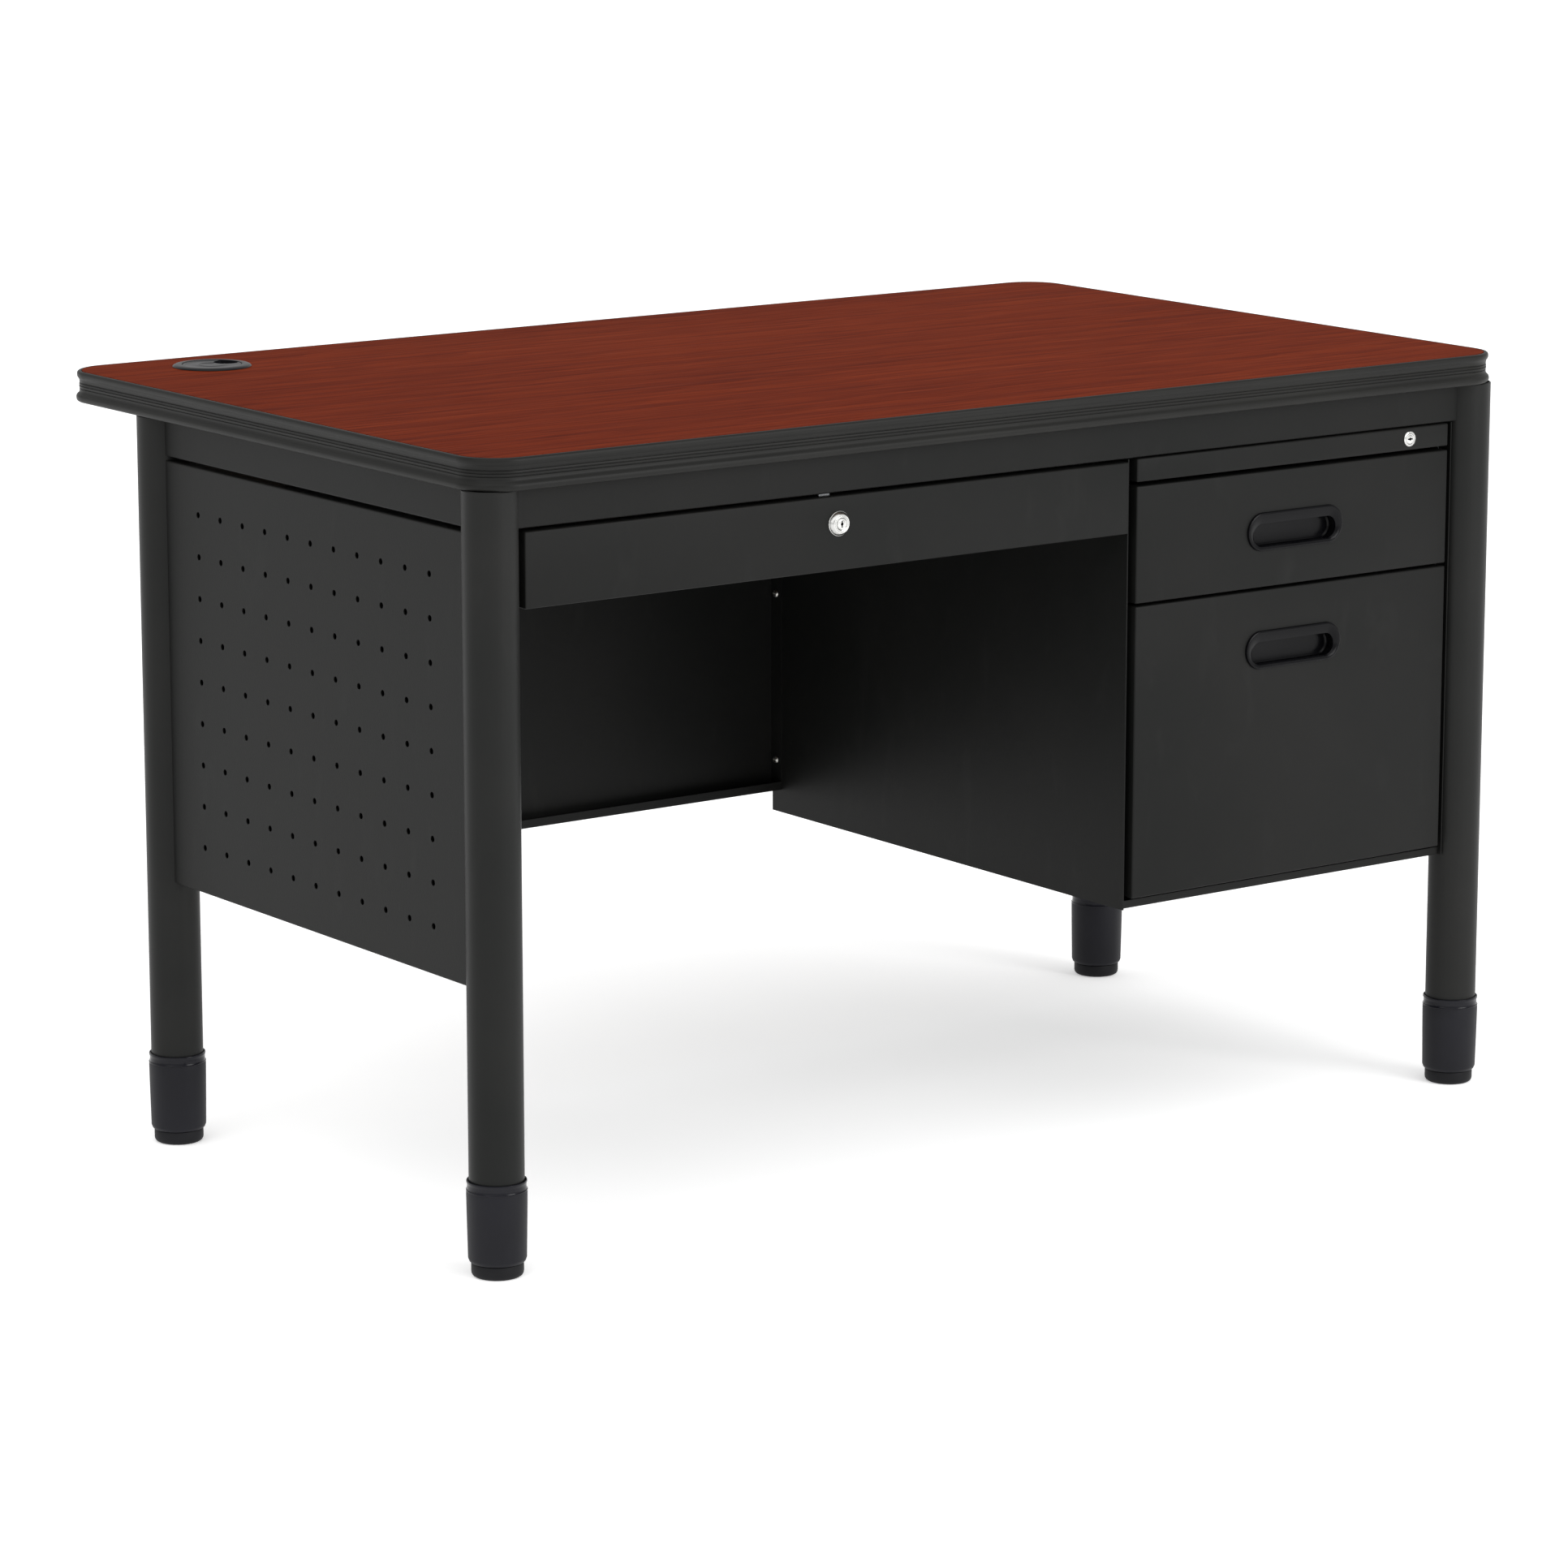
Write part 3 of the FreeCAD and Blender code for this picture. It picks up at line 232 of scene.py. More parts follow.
def stadium(name, centre, length, height, front, back, sides=72):
    # a cylinder along Y whose two halves are drawn apart along X
    cx, cz = centre
    piece = disc(name, (cx, (front + back) / 2, cz), height / 2, back - front, "Y", sides)
    openMesh(piece, "VERT")
    reach = (length - height) / 2
    choose("VERT", lambda p, n: p.x > cx + 1e-6)
    move(x=reach)
    choose("VERT", lambda p, n: p.x < cx - 1e-6)
    move(x=-reach)
    closeMesh()
    return piece


def cut(piece, *cutters):
    for cutter in cutters:
        pick(piece)
        hole = piece.modifiers.new("hole", "BOOLEAN")
        hole.operation = "DIFFERENCE"
        hole.solver = "EXACT"
        hole.object = cutter
        bpy.ops.object.modifier_apply(modifier=hole.name)
        bpy.data.objects.remove(cutter, do_unlink=True)


def roundEdges(piece, width, segments=3, angle=40):
    pick(piece)
    bevel = piece.modifiers.new("softEdges", "BEVEL")
    bevel.width = width
    bevel.segments = segments
    bevel.limit_method = "ANGLE"
    bevel.angle_limit = math.radians(angle)
    bpy.ops.object.modifier_apply(modifier=bevel.name)


def thicken(piece, wall, offset=-1.0):
    pick(piece)
    solid = piece.modifiers.new("wall", "SOLIDIFY")
    solid.thickness = wall
    solid.offset = offset
    solid.use_even_offset = True
    bpy.ops.object.modifier_apply(modifier=solid.name)


def copyPiece(piece, name, shift):
    copy = piece.copy()
    copy.data = piece.data.copy()
    copy.name = copy.data.name = name
    scene.collection.objects.link(copy)
    pick(copy)
    copy.location = shift
    bpy.ops.object.transform_apply(location=True, rotation=False, scale=False)
    return copy


def joinPieces(pieces, name):
    deselectAll()
    for piece in pieces:
        piece.select_set(True)
    bpy.context.view_layer.objects.active = pieces[0]
    bpy.ops.object.join()
    joined = bpy.context.object
    joined.name = joined.data.name = name
    return joined


def finishPiece(piece, body, slotName, material, *nodes, angle=35):
    pick(piece)
    bpy.ops.object.shade_smooth_by_angle(angle=math.radians(angle))
    piece.data.materials.clear()
    piece.data.materials.append(material)
    if nodes:
        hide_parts(*nodes)
    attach(piece, body)
    return piece


# Materials

class Wire:
    def __init__(self, finish, socket):
        self.finish = finish
        self.socket = socket

    def sum(self, operation, first, second):
        node = self.finish.add("ShaderNodeMath", {"operation": operation},
                               {0: first, 1: second})
        return Wire(self.finish, node.outputs[0])

    def __add__(self, other):
        return self.sum("ADD", self, other)

    def __radd__(self, other):
        return self.sum("ADD", other, self)

    def __sub__(self, other):
        return self.sum("SUBTRACT", self, other)

    def __rsub__(self, other):
        return self.sum("SUBTRACT", other, self)

    def __mul__(self, other):
        return self.sum("MULTIPLY", self, other)

    def __rmul__(self, other):
        return self.sum("MULTIPLY", other, self)

    def __gt__(self, other):
        return self.sum("GREATER_THAN", self, other)


class Finish:
    def __init__(self, name):
        self.material = bpy.data.materials.new(name)
        self.material.use_nodes = True
        self.tree = self.material.node_tree
        self.tree.nodes.clear()
        self.shader = self.add("ShaderNodeBsdfPrincipled")
        self.add("ShaderNodeOutputMaterial", {}, {"Surface": self.shader.outputs[0]})
        self.place = self.add("ShaderNodeTexCoord").outputs["Object"]

    def add(self, kind, settings=None, inputs=None):
        node = self.tree.nodes.new(kind)
        for key, value in (settings or {}).items():
            if key == "stops":
                ramp = node.color_ramp
                while len(ramp.elements) < len(value):
                    ramp.elements.new(0.5)
                for element, (position, colour) in zip(ramp.elements, value):
                    element.position = position
                    element.color = (*colour, 1)
            else:
                setattr(node, key, value)
        for key, value in (inputs or {}).items():
            if isinstance(value, Wire):
                value = value.socket
            if isinstance(value, bpy.types.NodeSocket):
                self.tree.links.new(value, node.inputs[key])
            else:
                node.inputs[key].default_value = value
        return node

    def stretched(self, x, y, z):
        node = self.add("ShaderNodeMapping", {}, {"Vector": self.place, "Scale": (x, y, z)})
        return node.outputs[0]

    def noise(self, scale, detail=3.0, roughness=0.5, distortion=0.0, place=None):
        node = self.add("ShaderNodeTexNoise", {}, {
            "Vector": place or self.place, "Scale": scale, "Detail": detail,
            "Roughness": roughness, "Distortion": distortion})
        return Wire(self, node.outputs[0])

    def ramp(self, value, stops):
        return self.add("ShaderNodeValToRGB", {"stops": stops}, {0: value}).outputs[0]

    def spread(self, value, low, high, start=0.0, end=1.0):
        node = self.add("ShaderNodeMapRange", {}, {
            "Value": value, "From Min": low, "From Max": high, "To Min": start, "To Max": end})
        return Wire(self, node.outputs[0])

    def mix(self, factor, first, second):
        node = self.add("ShaderNodeMix", {"data_type": "RGBA"},
                        {0: factor, 6: first, 7: second})
        return node.outputs[2]

    def bump(self, height, strength, distance):
        node = self.add("ShaderNodeBump", {}, {
            "Height": height, "Strength": strength, "Distance": distance})
        return node.outputs[0]

    def wear(self, **sockets):
        for key, value in sockets.items():
            name = {"colour": "Base Color", "roughness": "Roughness", "metallic": "Metallic",
                    "normal": "Normal", "specular": "Specular IOR Level",
                    "glowColour": "Emission Color", "glow": "Emission Strength"}[key]
            if isinstance(value, Wire):
                value = value.socket
            if isinstance(value, bpy.types.NodeSocket):
                self.tree.links.new(value, self.shader.inputs[name])
            else:
                self.shader.inputs[name].default_value = value
        return self.material


def linear(red, green, blue):
    # screen values 0 to 255 as linear colour
    shares = [value / 255 for value in (red, green, blue)]
    return tuple(s / 12.92 if s <= 0.04045 else ((s + 0.055) / 1.055) ** 2.4 for s in shares)


steelPaint = {"dark": (15, 16, 15), "light": (21, 21, 20), "roughness": 0.48}
# the leg tubes wear a lighter copy of the same black powder coat: painted light, so the legs
# read brighter as if more lit
tubePaintLitCopy = {"dark": (24, 25, 24), "light": (31, 31, 30), "roughness": 0.44}


def makeSteelPaint(name, look):
    paint = Finish(name)
    cloud = paint.noise(5.0, 4.0)
    peel = paint.noise(620.0, 2.0, 0.6)
    speck = paint.noise(2600.0, 1.0)
    rub = paint.noise(1.0, 5.0, 0.62, 0.4, paint.stretched(26, 26, 9))
    colour = paint.mix(paint.spread(cloud, 0.35, 0.65),
                       (*linear(*look["dark"]), 1), (*linear(*look["light"]), 1))
    dust = paint.spread(rub, 0.58, 0.8, 0.0, 0.16)
    colour = paint.mix(dust, colour, (*linear(46, 46, 45), 1))
    roughness = look["roughness"] + (cloud - 0.5) * 0.12 + (speck - 0.5) * 0.08
    return paint.wear(colour=colour, roughness=roughness,
                      normal=paint.bump(peel + speck * 0.35, 0.32, 0.00022), specular=0.14)


cherryTones = [
    (0.0, linear(62, 20, 12)), (0.28, linear(87, 31, 18)), (0.5, linear(103, 39, 21)),
    (0.72, linear(117, 47, 25)), (1.0, linear(134, 60, 32))]


def makeCherryLaminate():
    wood = Finish("cherryLaminate")
    drift = wood.noise(1.0, 3.0, 0.5, 0.0, wood.stretched(1.4, 7, 1))
    figure = wood.add("ShaderNodeTexWave", {
        "wave_type": "BANDS", "bands_direction": "Y", "wave_profile": "SAW"}, {
        "Vector": wood.stretched(0.3, 1.5, 1), "Scale": 6.5, "Distortion": 10.0,
        "Detail": 3.0, "Detail Scale": 1.1, "Detail Roughness": 0.55})
    figure = Wire(wood, figure.outputs["Fac"])
    streaks = wood.noise(1.0, 5.0, 0.66, 0.3, wood.stretched(3.2, 150, 1))
    fibres = wood.noise(1.0, 3.0, 0.6, 0.0, wood.stretched(16, 420, 1))
    dashes = wood.noise(1.0, 2.0, 0.55, 0.0, wood.stretched(9, 230, 1))
    flecks = wood.noise(1.0, 2.0, 0.5, 0.0, wood.stretched(5, 170, 3))
    tone = (drift - 0.5) * 0.34 + (streaks - 0.5) * 0.8 + (fibres - 0.5) * 0.8 \
        + (figure - 0.5) * 0.16 + 0.5
    colour = wood.ramp(tone, cherryTones)
    colour = wood.mix(wood.spread(dashes, 0.58, 0.74, 0.0, 0.55), colour,
                      (*linear(62, 20, 14), 1))
    colour = wood.mix(wood.spread(flecks, 0.6, 0.78, 0.0, 0.3), colour,
                      (*linear(146, 70, 42), 1))
    texture = wood.noise(900.0, 2.0)
    roughness = 0.56 + (texture - 0.5) * 0.1 + (streaks - 0.5) * 0.14
    height = texture * 0.6 + dashes * -0.5
    return wood.wear(colour=colour, roughness=roughness, specular=0.003,
                     normal=wood.bump(height, 0.2, 0.0001))


def makePlastic(name, dark, light, roughness, grain, depth, specular, smoothAbove=None):
    # smoothAbove: the height above which the piece is polished
    plastic = Finish(name)
    cloud = plastic.noise(18.0, 3.0)
    skin = plastic.noise(grain, 2.0, 0.55)
    scuff = plastic.noise(1.0, 6.0, 0.65, 0.5, plastic.stretched(60, 60, 30))
    colour = plastic.mix(plastic.spread(cloud, 0.3, 0.7), (*linear(*dark), 1),
                         (*linear(*light), 1))
    colour = plastic.mix(plastic.spread(scuff, 0.6, 0.8, 0.0, 0.18), colour,
                         (*linear(*[value + 18 for value in light]), 1))
    rough = roughness + (cloud - 0.5) * 0.1 + (skin - 0.5) * 0.12
    if smoothAbove is not None:
        parts = plastic.add("ShaderNodeSeparateXYZ", {}, {0: plastic.place})
        rough = rough - (Wire(plastic, parts.outputs[2]) > smoothAbove) * 0.26
    return plastic.wear(colour=colour, roughness=rough, specular=specular,
                        normal=plastic.bump(skin, 0.35, depth))


def makeVinylBand():
    vinyl = Finish("vinylBand")
    drawn = vinyl.noise(1.0, 3.0, 0.5, 0.0, vinyl.stretched(5, 5, 700))
    skin = vinyl.noise(1400.0, 2.0)
    cloud = vinyl.noise(6.0, 3.0)
    colour = vinyl.mix(vinyl.spread(drawn + (cloud - 0.5) * 0.6, 0.3, 0.7),
                       (*linear(24, 24, 23), 1), (*linear(31, 31, 29), 1))
    roughness = 0.44 + (drawn - 0.5) * 0.16 + (skin - 0.5) * 0.08
    return vinyl.wear(colour=colour, roughness=roughness, specular=0.15,
                      normal=vinyl.bump(skin * 0.5 + drawn, 0.12, 0.0001))


def makeMetal(name, colour, roughness, scratch, along, face=None):
    # face: the Y beyond which a lock's keyhole is painted near-black inside, painted shade in
    # the recess
    metal = Finish(name)
    brushed = metal.noise(1.0, 4.0, 0.6, 0.0, metal.stretched(*along))
    cloud = metal.noise(24.0, 3.0)
    tarnish = metal.spread(cloud, 0.45, 0.75, 0.0, 0.35)
    dull = tuple(value * 0.72 for value in colour)
    shade = metal.mix(tarnish, (*colour, 1), (*dull, 1))
    if face is not None:
        # painted shade: all of the piece behind this Y is coloured near-black, so the keyhole's
        # inside reads shaded
        parts = metal.add("ShaderNodeSeparateXYZ", {}, {0: metal.place})
        inside = Wire(metal, parts.outputs[1]) > face
        shade = metal.mix(inside, shade, (0.012, 0.012, 0.013, 1))
    rough = roughness + (brushed - 0.5) * 0.12 + (cloud - 0.5) * 0.08
    return metal.wear(colour=shade, metallic=1.0, roughness=rough,
                      normal=metal.bump(brushed, scratch, 0.00005))


def makeParticleBoard():
    board = Finish("particleBoard")
    flakes = board.add("ShaderNodeTexVoronoi", {"feature": "F1"}, {
        "Vector": board.stretched(1, 1, 2.4), "Scale": 420.0, "Randomness": 1.0})
    flakes = Wire(board, flakes.outputs["Distance"])
    dustNoise = board.noise(900.0, 3.0)
    colour = board.ramp(flakes + (dustNoise - 0.5) * 0.5, [
        (0.1, linear(128, 96, 62)), (0.45, linear(166, 132, 92)), (0.8, linear(196, 164, 120))])
    return board.wear(colour=colour, roughness=0.86 + (dustNoise - 0.5) * 0.1,
                      normal=board.bump(flakes, 0.5, 0.0005), specular=0.3)


def makeBackerSheet():
    paper = Finish("backerSheet")
    fibre = paper.noise(1.0, 4.0, 0.6, 0.0, paper.stretched(40, 320, 40))
    cloud = paper.noise(9.0, 3.0)
    colour = paper.ramp(fibre + (cloud - 0.5) * 0.5, [
        (0.25, linear(92, 70, 52)), (0.75, linear(116, 92, 70))])
    return paper.wear(colour=colour, roughness=0.7 + (fibre - 0.5) * 0.15,
                      normal=paper.bump(fibre, 0.2, 0.0001), specular=0.3)


steel = makeSteelPaint("steelPaint", steelPaint)
tubeSteelLitCopy = makeSteelPaint("tubePaintLitCopy", tubePaintLitCopy)
cherry = makeCherryLaminate()
vinyl = makeVinylBand()
sleevePlastic = makePlastic(
    "sleevePlastic", dark=(15, 15, 20), light=(21, 21, 27), roughness=0.46, grain=1500.0,
    depth=0.0001, specular=0.2, smoothAbove=0.0803)
footPlastic = makePlastic(
    "footPlastic", dark=(17, 17, 19), light=(24, 24, 27), roughness=0.55, grain=1100.0,
    depth=0.00016, specular=0.16)
pullPlastic = makePlastic(
    "pullPlastic", dark=(6, 6, 8), light=(11, 11, 13), roughness=0.24, grain=2200.0,
    depth=0.00004, specular=0.11)
grommetPlastic = makePlastic(
    "grommetPlastic", dark=(9, 10, 13), light=(15, 16, 20), roughness=0.34, grain=1700.0,
    depth=0.0001, specular=0.16)
chromeLook = {"colour": (0.6, 0.6, 0.585), "roughness": 0.2, "scratch": 0.12,
              "along": (900, 40, 900)}
chrome = makeMetal("chromeLock", **chromeLook)
zinc = makeMetal("zincSteel", colour=(0.34, 0.35, 0.36), roughness=0.38, scratch=0.3,
                 along=(60, 500, 500))
plated = makeMetal("platedScrew", colour=(0.52, 0.51, 0.48), roughness=0.28, scratch=0.2,
                   along=(500, 500, 500))
materialOfSlot = {
    "cherry_laminate": cherry, "particle_board": makeParticleBoard(),
    "backer_sheet": makeBackerSheet(), "vinyl_edge": vinyl, "black_powder_coat": steel,
    "sleeve_plastic": sleevePlastic, "foot_plastic": footPlastic, "pull_plastic": pullPlastic,
    "grommet_plastic": grommetPlastic, "chrome_lock": chrome, "zinc_steel": zinc,
    "plated_screw": plated,
}
for part in frame["record"]["subparts"]:
    node = frame["nodes"][part["node"]]
    if not node.material_slots:
        node.data.materials.append(None)
    for materialSlot in node.material_slots:
        materialSlot.material = materialOfSlot[part["material_slot"]]
print("materials made:", len(materialOfSlot))


# Floor

deselectAll()
bpy.ops.mesh.primitive_plane_add(size=160, location=(0, 0, 0))
floor = bpy.context.object
floor.name = floor.data.name = "floor"
floorPaint = Finish("paleFloor")
floorShade = floorPaint.noise(3.0, 2.0)
paleFloor = floorPaint.wear(
    colour=floorPaint.mix(floorShade, (*studio["floorColour"], 1),
                          (*[value * 1.02 for value in studio["floorColour"]], 1)),
    roughness=0.9, specular=0.1, glowColour=(1, 1, 1, 1), glow=studio["floorGlow"])
floor.data.materials.append(paleFloor)


# Edge band: one section carried round the top by extruding the runs and spinning the corners

edgeBand = {
    "corner": 0.038,     # radius of the laminate's corners
    "steps": 18,
    "section": [         # out from the laminate's edge, down from its surface
        (0.0001, 0.0011), (0.0005, 0.0011), (0.0007, 0.0004), (0.0012, 0.0001), (0.0022, 0.0),
        (0.0033, 0.0003), (0.0041, 0.0009), (0.0046, 0.0018), (0.0048, 0.0030),
        (0.0048, 0.0044), (0.0045, 0.0056), (0.0038, 0.0067), (0.0031, 0.0077),
        (0.0027, 0.0090), (0.0026, 0.0107), (0.0019, 0.0111), (0.0019, 0.0116),
        (0.0027, 0.0120), (0.0029, 0.0134), (0.0021, 0.0138), (0.0021, 0.0143),
        (0.0029, 0.0147), (0.0028, 0.0163), (0.0019, 0.0167), (0.0019, 0.0172),
        (0.0026, 0.0176), (0.0026, 0.0195), (0.0030, 0.0208), (0.0040, 0.0219),
        (0.0051, 0.0229), (0.0058, 0.0242), (0.0060, 0.0257), (0.0058, 0.0275),
        (0.0051, 0.0289), (0.0040, 0.0297), (0.0025, 0.0300), (0.0001, 0.0300),
        (0.0001, 0.0011)],
}


def makeEdgeBand():
    low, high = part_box("desktop_laminate")
    corner, steps = edgeBand["corner"], edgeBand["steps"]
    startX = low[0] + corner
    points = [(startX, low[1] - out, high[2] - down) for out, down in edgeBand["section"]]
    piece = drawLine("edgeBandRound", points)
    runX = high[0] - low[0] - 2 * corner
    runY = high[1] - low[1] - 2 * corner
    bpy.ops.mesh.select_mode(type="EDGE")
    sides = [((runX, 0), (high[0] - corner, low[1] + corner)),
             ((0, runY), (high[0] - corner, high[1] - corner)),
             ((-runX, 0), (low[0] + corner, high[1] - corner)),
             ((0, -runY), (low[0] + corner, low[1] + corner))]
    for (alongX, alongY), (aboutX, aboutY) in sides:
        extrude(alongX, alongY, 0)
        bpy.ops.mesh.spin(steps=steps, angle=-math.pi / 2, center=(aboutX, aboutY, 0),
                          axis=(0, 0, 1))
    closeMesh(clean=True)
    return finishPiece(piece, "desk", "vinyl_edge", vinyl, "edge_band", angle=50)


makeEdgeBand()
print("edge band")


# Legs, sleeves and feet

legShape = {"radius": 0.0254, "wall": 0.0016, "lip": 0.0008, "rings": [0.2, 0.4, 0.6],
            "sides": 96}
sleeveShape = {
    "ribs": 88, "ribDepth": 0.00022, "bore": 0.0262, "middle": 0.0272,
    "outside": [         # radius, height above the floor
        (0.0264, 0.0900), (0.0269, 0.0900), (0.0274, 0.0897), (0.0276, 0.0890),
        (0.0276, 0.0880), (0.0272, 0.0872), (0.0270, 0.0860), (0.0270, 0.0822),
        (0.0274, 0.0814), (0.0279, 0.0811), (0.0279, 0.0803), (0.0276, 0.0800)],
    "ribbed": [(0.0278, 0.0795), (0.0277, 0.0700), (0.0275, 0.0560), (0.0272, 0.0400),
               (0.0269, 0.0250), (0.02675, 0.0172)],
    "foot": [(0.0266, 0.0168), (0.0258, 0.0146), (0.0250, 0.0137), (0.0244, 0.0135),
             (0.0080, 0.0135), (0.0080, 0.0165), (0.02545, 0.0165), (0.02545, 0.0810),
             (0.0264, 0.0814), (0.0264, 0.0900)],
}
footShape = {
    "outside": [(0.0, 0.0), (0.0196, 0.0), (0.0215, 0.0004), (0.0229, 0.0014),
                (0.0237, 0.0028), (0.0240, 0.0045), (0.0240, 0.0118), (0.0236, 0.0128),
                (0.0228, 0.0132), (0.0120, 0.0133), (0.0062, 0.0133), (0.0050, 0.0138)],
    "threadStart": 0.0145, "stemTop": 0.0493, "thread": 0.0015, "stem": 0.00492, "root": 0.0043,
}


def makeLeg(corner):
    low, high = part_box("leg_" + corner)
    x, y = (low[0] + high[0]) / 2, (low[1] + high[1]) / 2
    outer, lip = legShape["radius"], legShape["lip"]
    bore = outer - legShape["wall"]
    heights = [low[2] + lip, *legShape["rings"], high[2] - lip]
    profile = [(bore, low[2]), (outer - lip, low[2])]
    profile += [(outer, height) for height in heights]
    profile += [(outer - lip, high[2]), (bore, high[2]), (bore, low[2])]
    piece = turned("legTube_" + corner, profile, (x, y, 0), "Z", legShape["sides"])
    # the legs get the lighter copy of the powder coat, which is painted light
    finishPiece(piece, "desk", "black_powder_coat", tubeSteelLitCopy, "leg_" + corner)
    return x, y


def makeSleeve(corner, x, y):
    profile = sleeveShape["outside"] + sleeveShape["ribbed"] + sleeveShape["foot"]
    piece = turned("ribbedSleeve_" + corner, profile, (x, y, 0), "Z", 2 * sleeveShape["ribs"])
    top, bottom = sleeveShape["ribbed"][0][1], sleeveShape["ribbed"][-1][1]
    step = math.pi / sleeveShape["ribs"]

    def groove(place, _):
        across = Vector((place.x - x, place.y - y))
        if across.length < sleeveShape["bore"] or not bottom - 1e-5 < place.z < top + 1e-5:
            return False
        return round(math.atan2(across.y, across.x) / step) % 2 == 0
    openMesh(piece, "VERT")
    choose("VERT", groove)
    share = 1 - sleeveShape["ribDepth"] / sleeveShape["middle"]
    bpy.ops.transform.resize(value=(share, share, 1), center_override=(x, y, 0))
    closeMesh()
    return finishPiece(piece, "desk", "sleeve_plastic", sleevePlastic,
                       "leg_sleeve_" + corner, angle=32)


def makeFoot(corner, x, y):
    profile = list(footShape["outside"])
    height = footShape["threadStart"]
    while height < footShape["stemTop"] - footShape["thread"]:
        profile.append((footShape["root"], height))
        profile.append((footShape["stem"], height + footShape["thread"] / 2))
        height += footShape["thread"]
    profile += [(footShape["root"], footShape["stemTop"]), (0.0, footShape["stemTop"])]
    piece = turned("levellingFoot_" + corner, profile, (x, y, 0), "Z", 64)
    return finishPiece(piece, "foot_" + corner, "foot_plastic", footPlastic,
                       "levelling_foot_" + corner)


for corner in ("front_left", "front_right", "rear_left", "rear_right"):
    legX, legY = makeLeg(corner)
    makeSleeve(corner, legX, legY)
    makeFoot(corner, legX, legY)
print("legs, sleeves and feet")


# Drawer fronts and lock rail: folded sheet with a soft edge all round

frontShape = {"edge": 0.0016, "skin": 0.0012}
railShape = {"lockHole": 0.00755, "plateEdge": 0.0004, "plateGap": 0.00001}


def middleOf(node):
    low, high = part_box(node)
    return [(a + b) / 2 for a, b in zip(low, high)]


def foldedBox(name, low, high):
    piece = block(name, low, high)
    openMesh(piece)
    choose("FACE", lambda p, n: n.y > 0.9)
    bpy.ops.mesh.delete(type="FACE")
    choose("EDGE", lambda p, n: p.y < high[1] - 1e-5)
    bpy.ops.mesh.bevel(offset=frontShape["edge"], segments=4, affect="EDGES")
    closeMesh()
    thicken(piece, frontShape["skin"])
    return piece


def foldedFront(name, node):
    low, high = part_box(node)
    return foldedBox(name, low, high), low, high


pullShape = {
    "length": 0.122, "height": 0.038, "proud": 0.0026, "base": 0.0008, "seat": 0.0001,
    "shoulder": 0.0011, "flat": 0.0007, "bevel": 0.0064, "drop": 0.0030, "sink": 0.0024,
    "throat": 0.0026, "cup": 0.0112, "cupCorner": 0.0016, "cupCornerDepth": 0.0012,
    "dish": 0.0022, "dishDepth": 0.0003, "rim": 0.0031,
    "frontHole": (0.1165, 0.0325),
}


def makePull(drawer):
    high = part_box(drawer + "_pull")[1]
    x, _, z = middleOf(drawer + "_pull")
    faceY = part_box(drawer + "_front")[0][1]
    shape = pullShape
    rise = shape["proud"] - shape["base"]
    piece = stadium(drawer + "PullCup", (x, z), shape["length"], shape["height"],
                    faceY - shape["base"], faceY - shape["seat"])
    openMesh(piece)
    choose("FACE", lambda p, n: n.y < -0.9)
    bpy.ops.mesh.inset(thickness=shape["shoulder"] * 0.45)
    move(y=-rise * 0.75)
    bpy.ops.mesh.inset(thickness=shape["shoulder"] * 0.9)
    move(y=-rise * 0.25)
    bpy.ops.mesh.inset(thickness=shape["flat"])
    bpy.ops.mesh.inset(thickness=shape["bevel"] * 0.5)     # slope down to the mouth
    move(y=shape["sink"] * 0.35, z=-shape["drop"] * 0.45)
    bpy.ops.mesh.inset(thickness=shape["bevel"] * 0.42)
    move(y=shape["sink"] * 0.65, z=-shape["drop"] * 0.55)
    extrude(y=shape["throat"] * 0.5)
    extrude(y=shape["throat"])
    bpy.ops.transform.resize(value=(1.015, 1, 1.06), center_override=(x, faceY, z))
    extrude(y=shape["cup"] * 0.62)
    bpy.ops.mesh.inset(thickness=shape["cupCorner"])
    move(y=shape["cupCornerDepth"])
    bpy.ops.mesh.inset(thickness=shape["dish"])
    move(y=shape["dishDepth"])
    # the back of the bezel runs on behind the face, around the cup
    choose("FACE", lambda p, n: n.y > 0.9 and faceY - 0.0003 < p.y < faceY + 0.001)
    bpy.ops.mesh.inset(thickness=shape["rim"])
    extrude(y=high[1] - faceY + shape["seat"])
    closeMesh(clean=True)
    return finishPiece(piece, drawer, "pull_plastic", pullPlastic, drawer + "_pull", angle=28)


def makePedestalFront(drawer):
    piece, low, _ = foldedFront(drawer + "FoldedFront", drawer + "_front")
    x, _, z = middleOf(drawer + "_pull")
    cut(piece, stadium("cutter", (x, z), *pullShape["frontHole"], low[1] - 0.01, low[1] + 0.004))
    finishPiece(piece, drawer, "black_powder_coat", steel, drawer + "_front")
    makePull(drawer)


makePedestalFront("box_drawer")
makePedestalFront("file_drawer")


def makeLockRail():
    # a folded front between the drawer sides, on a plate as wide as the pedestal
    low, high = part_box("lock_rail")
    boxLow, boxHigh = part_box("box_drawer_front")
    front = foldedBox("lockRailFold", (boxLow[0], low[1], low[2]),
                      (boxHigh[0], boxHigh[1], high[2]))
    plateFront = boxHigh[1] + railShape["plateGap"]
    plate = block("lockRailPlate", (low[0], plateFront, low[2]), high)
    roundEdges(plate, railShape["plateEdge"], 2)
    lockX, _, lockZ = middleOf("pedestal_lock_housing")
    for sheet in (front, plate):
        place = (lockX, (low[1] + high[1]) / 2, lockZ)
        cut(sheet, disc("cutter", place, railShape["lockHole"], 0.05, "Y", 72))
    rail = joinPieces([front, plate], "lockRailFront")
    finishPiece(rail, "desk", "black_powder_coat", steel, "lock_rail")


makeLockRail()


boltSlot = {"collarHole": 0.0076, "side": 0.0016, "length": 0.0136, "ends": 0.0014}


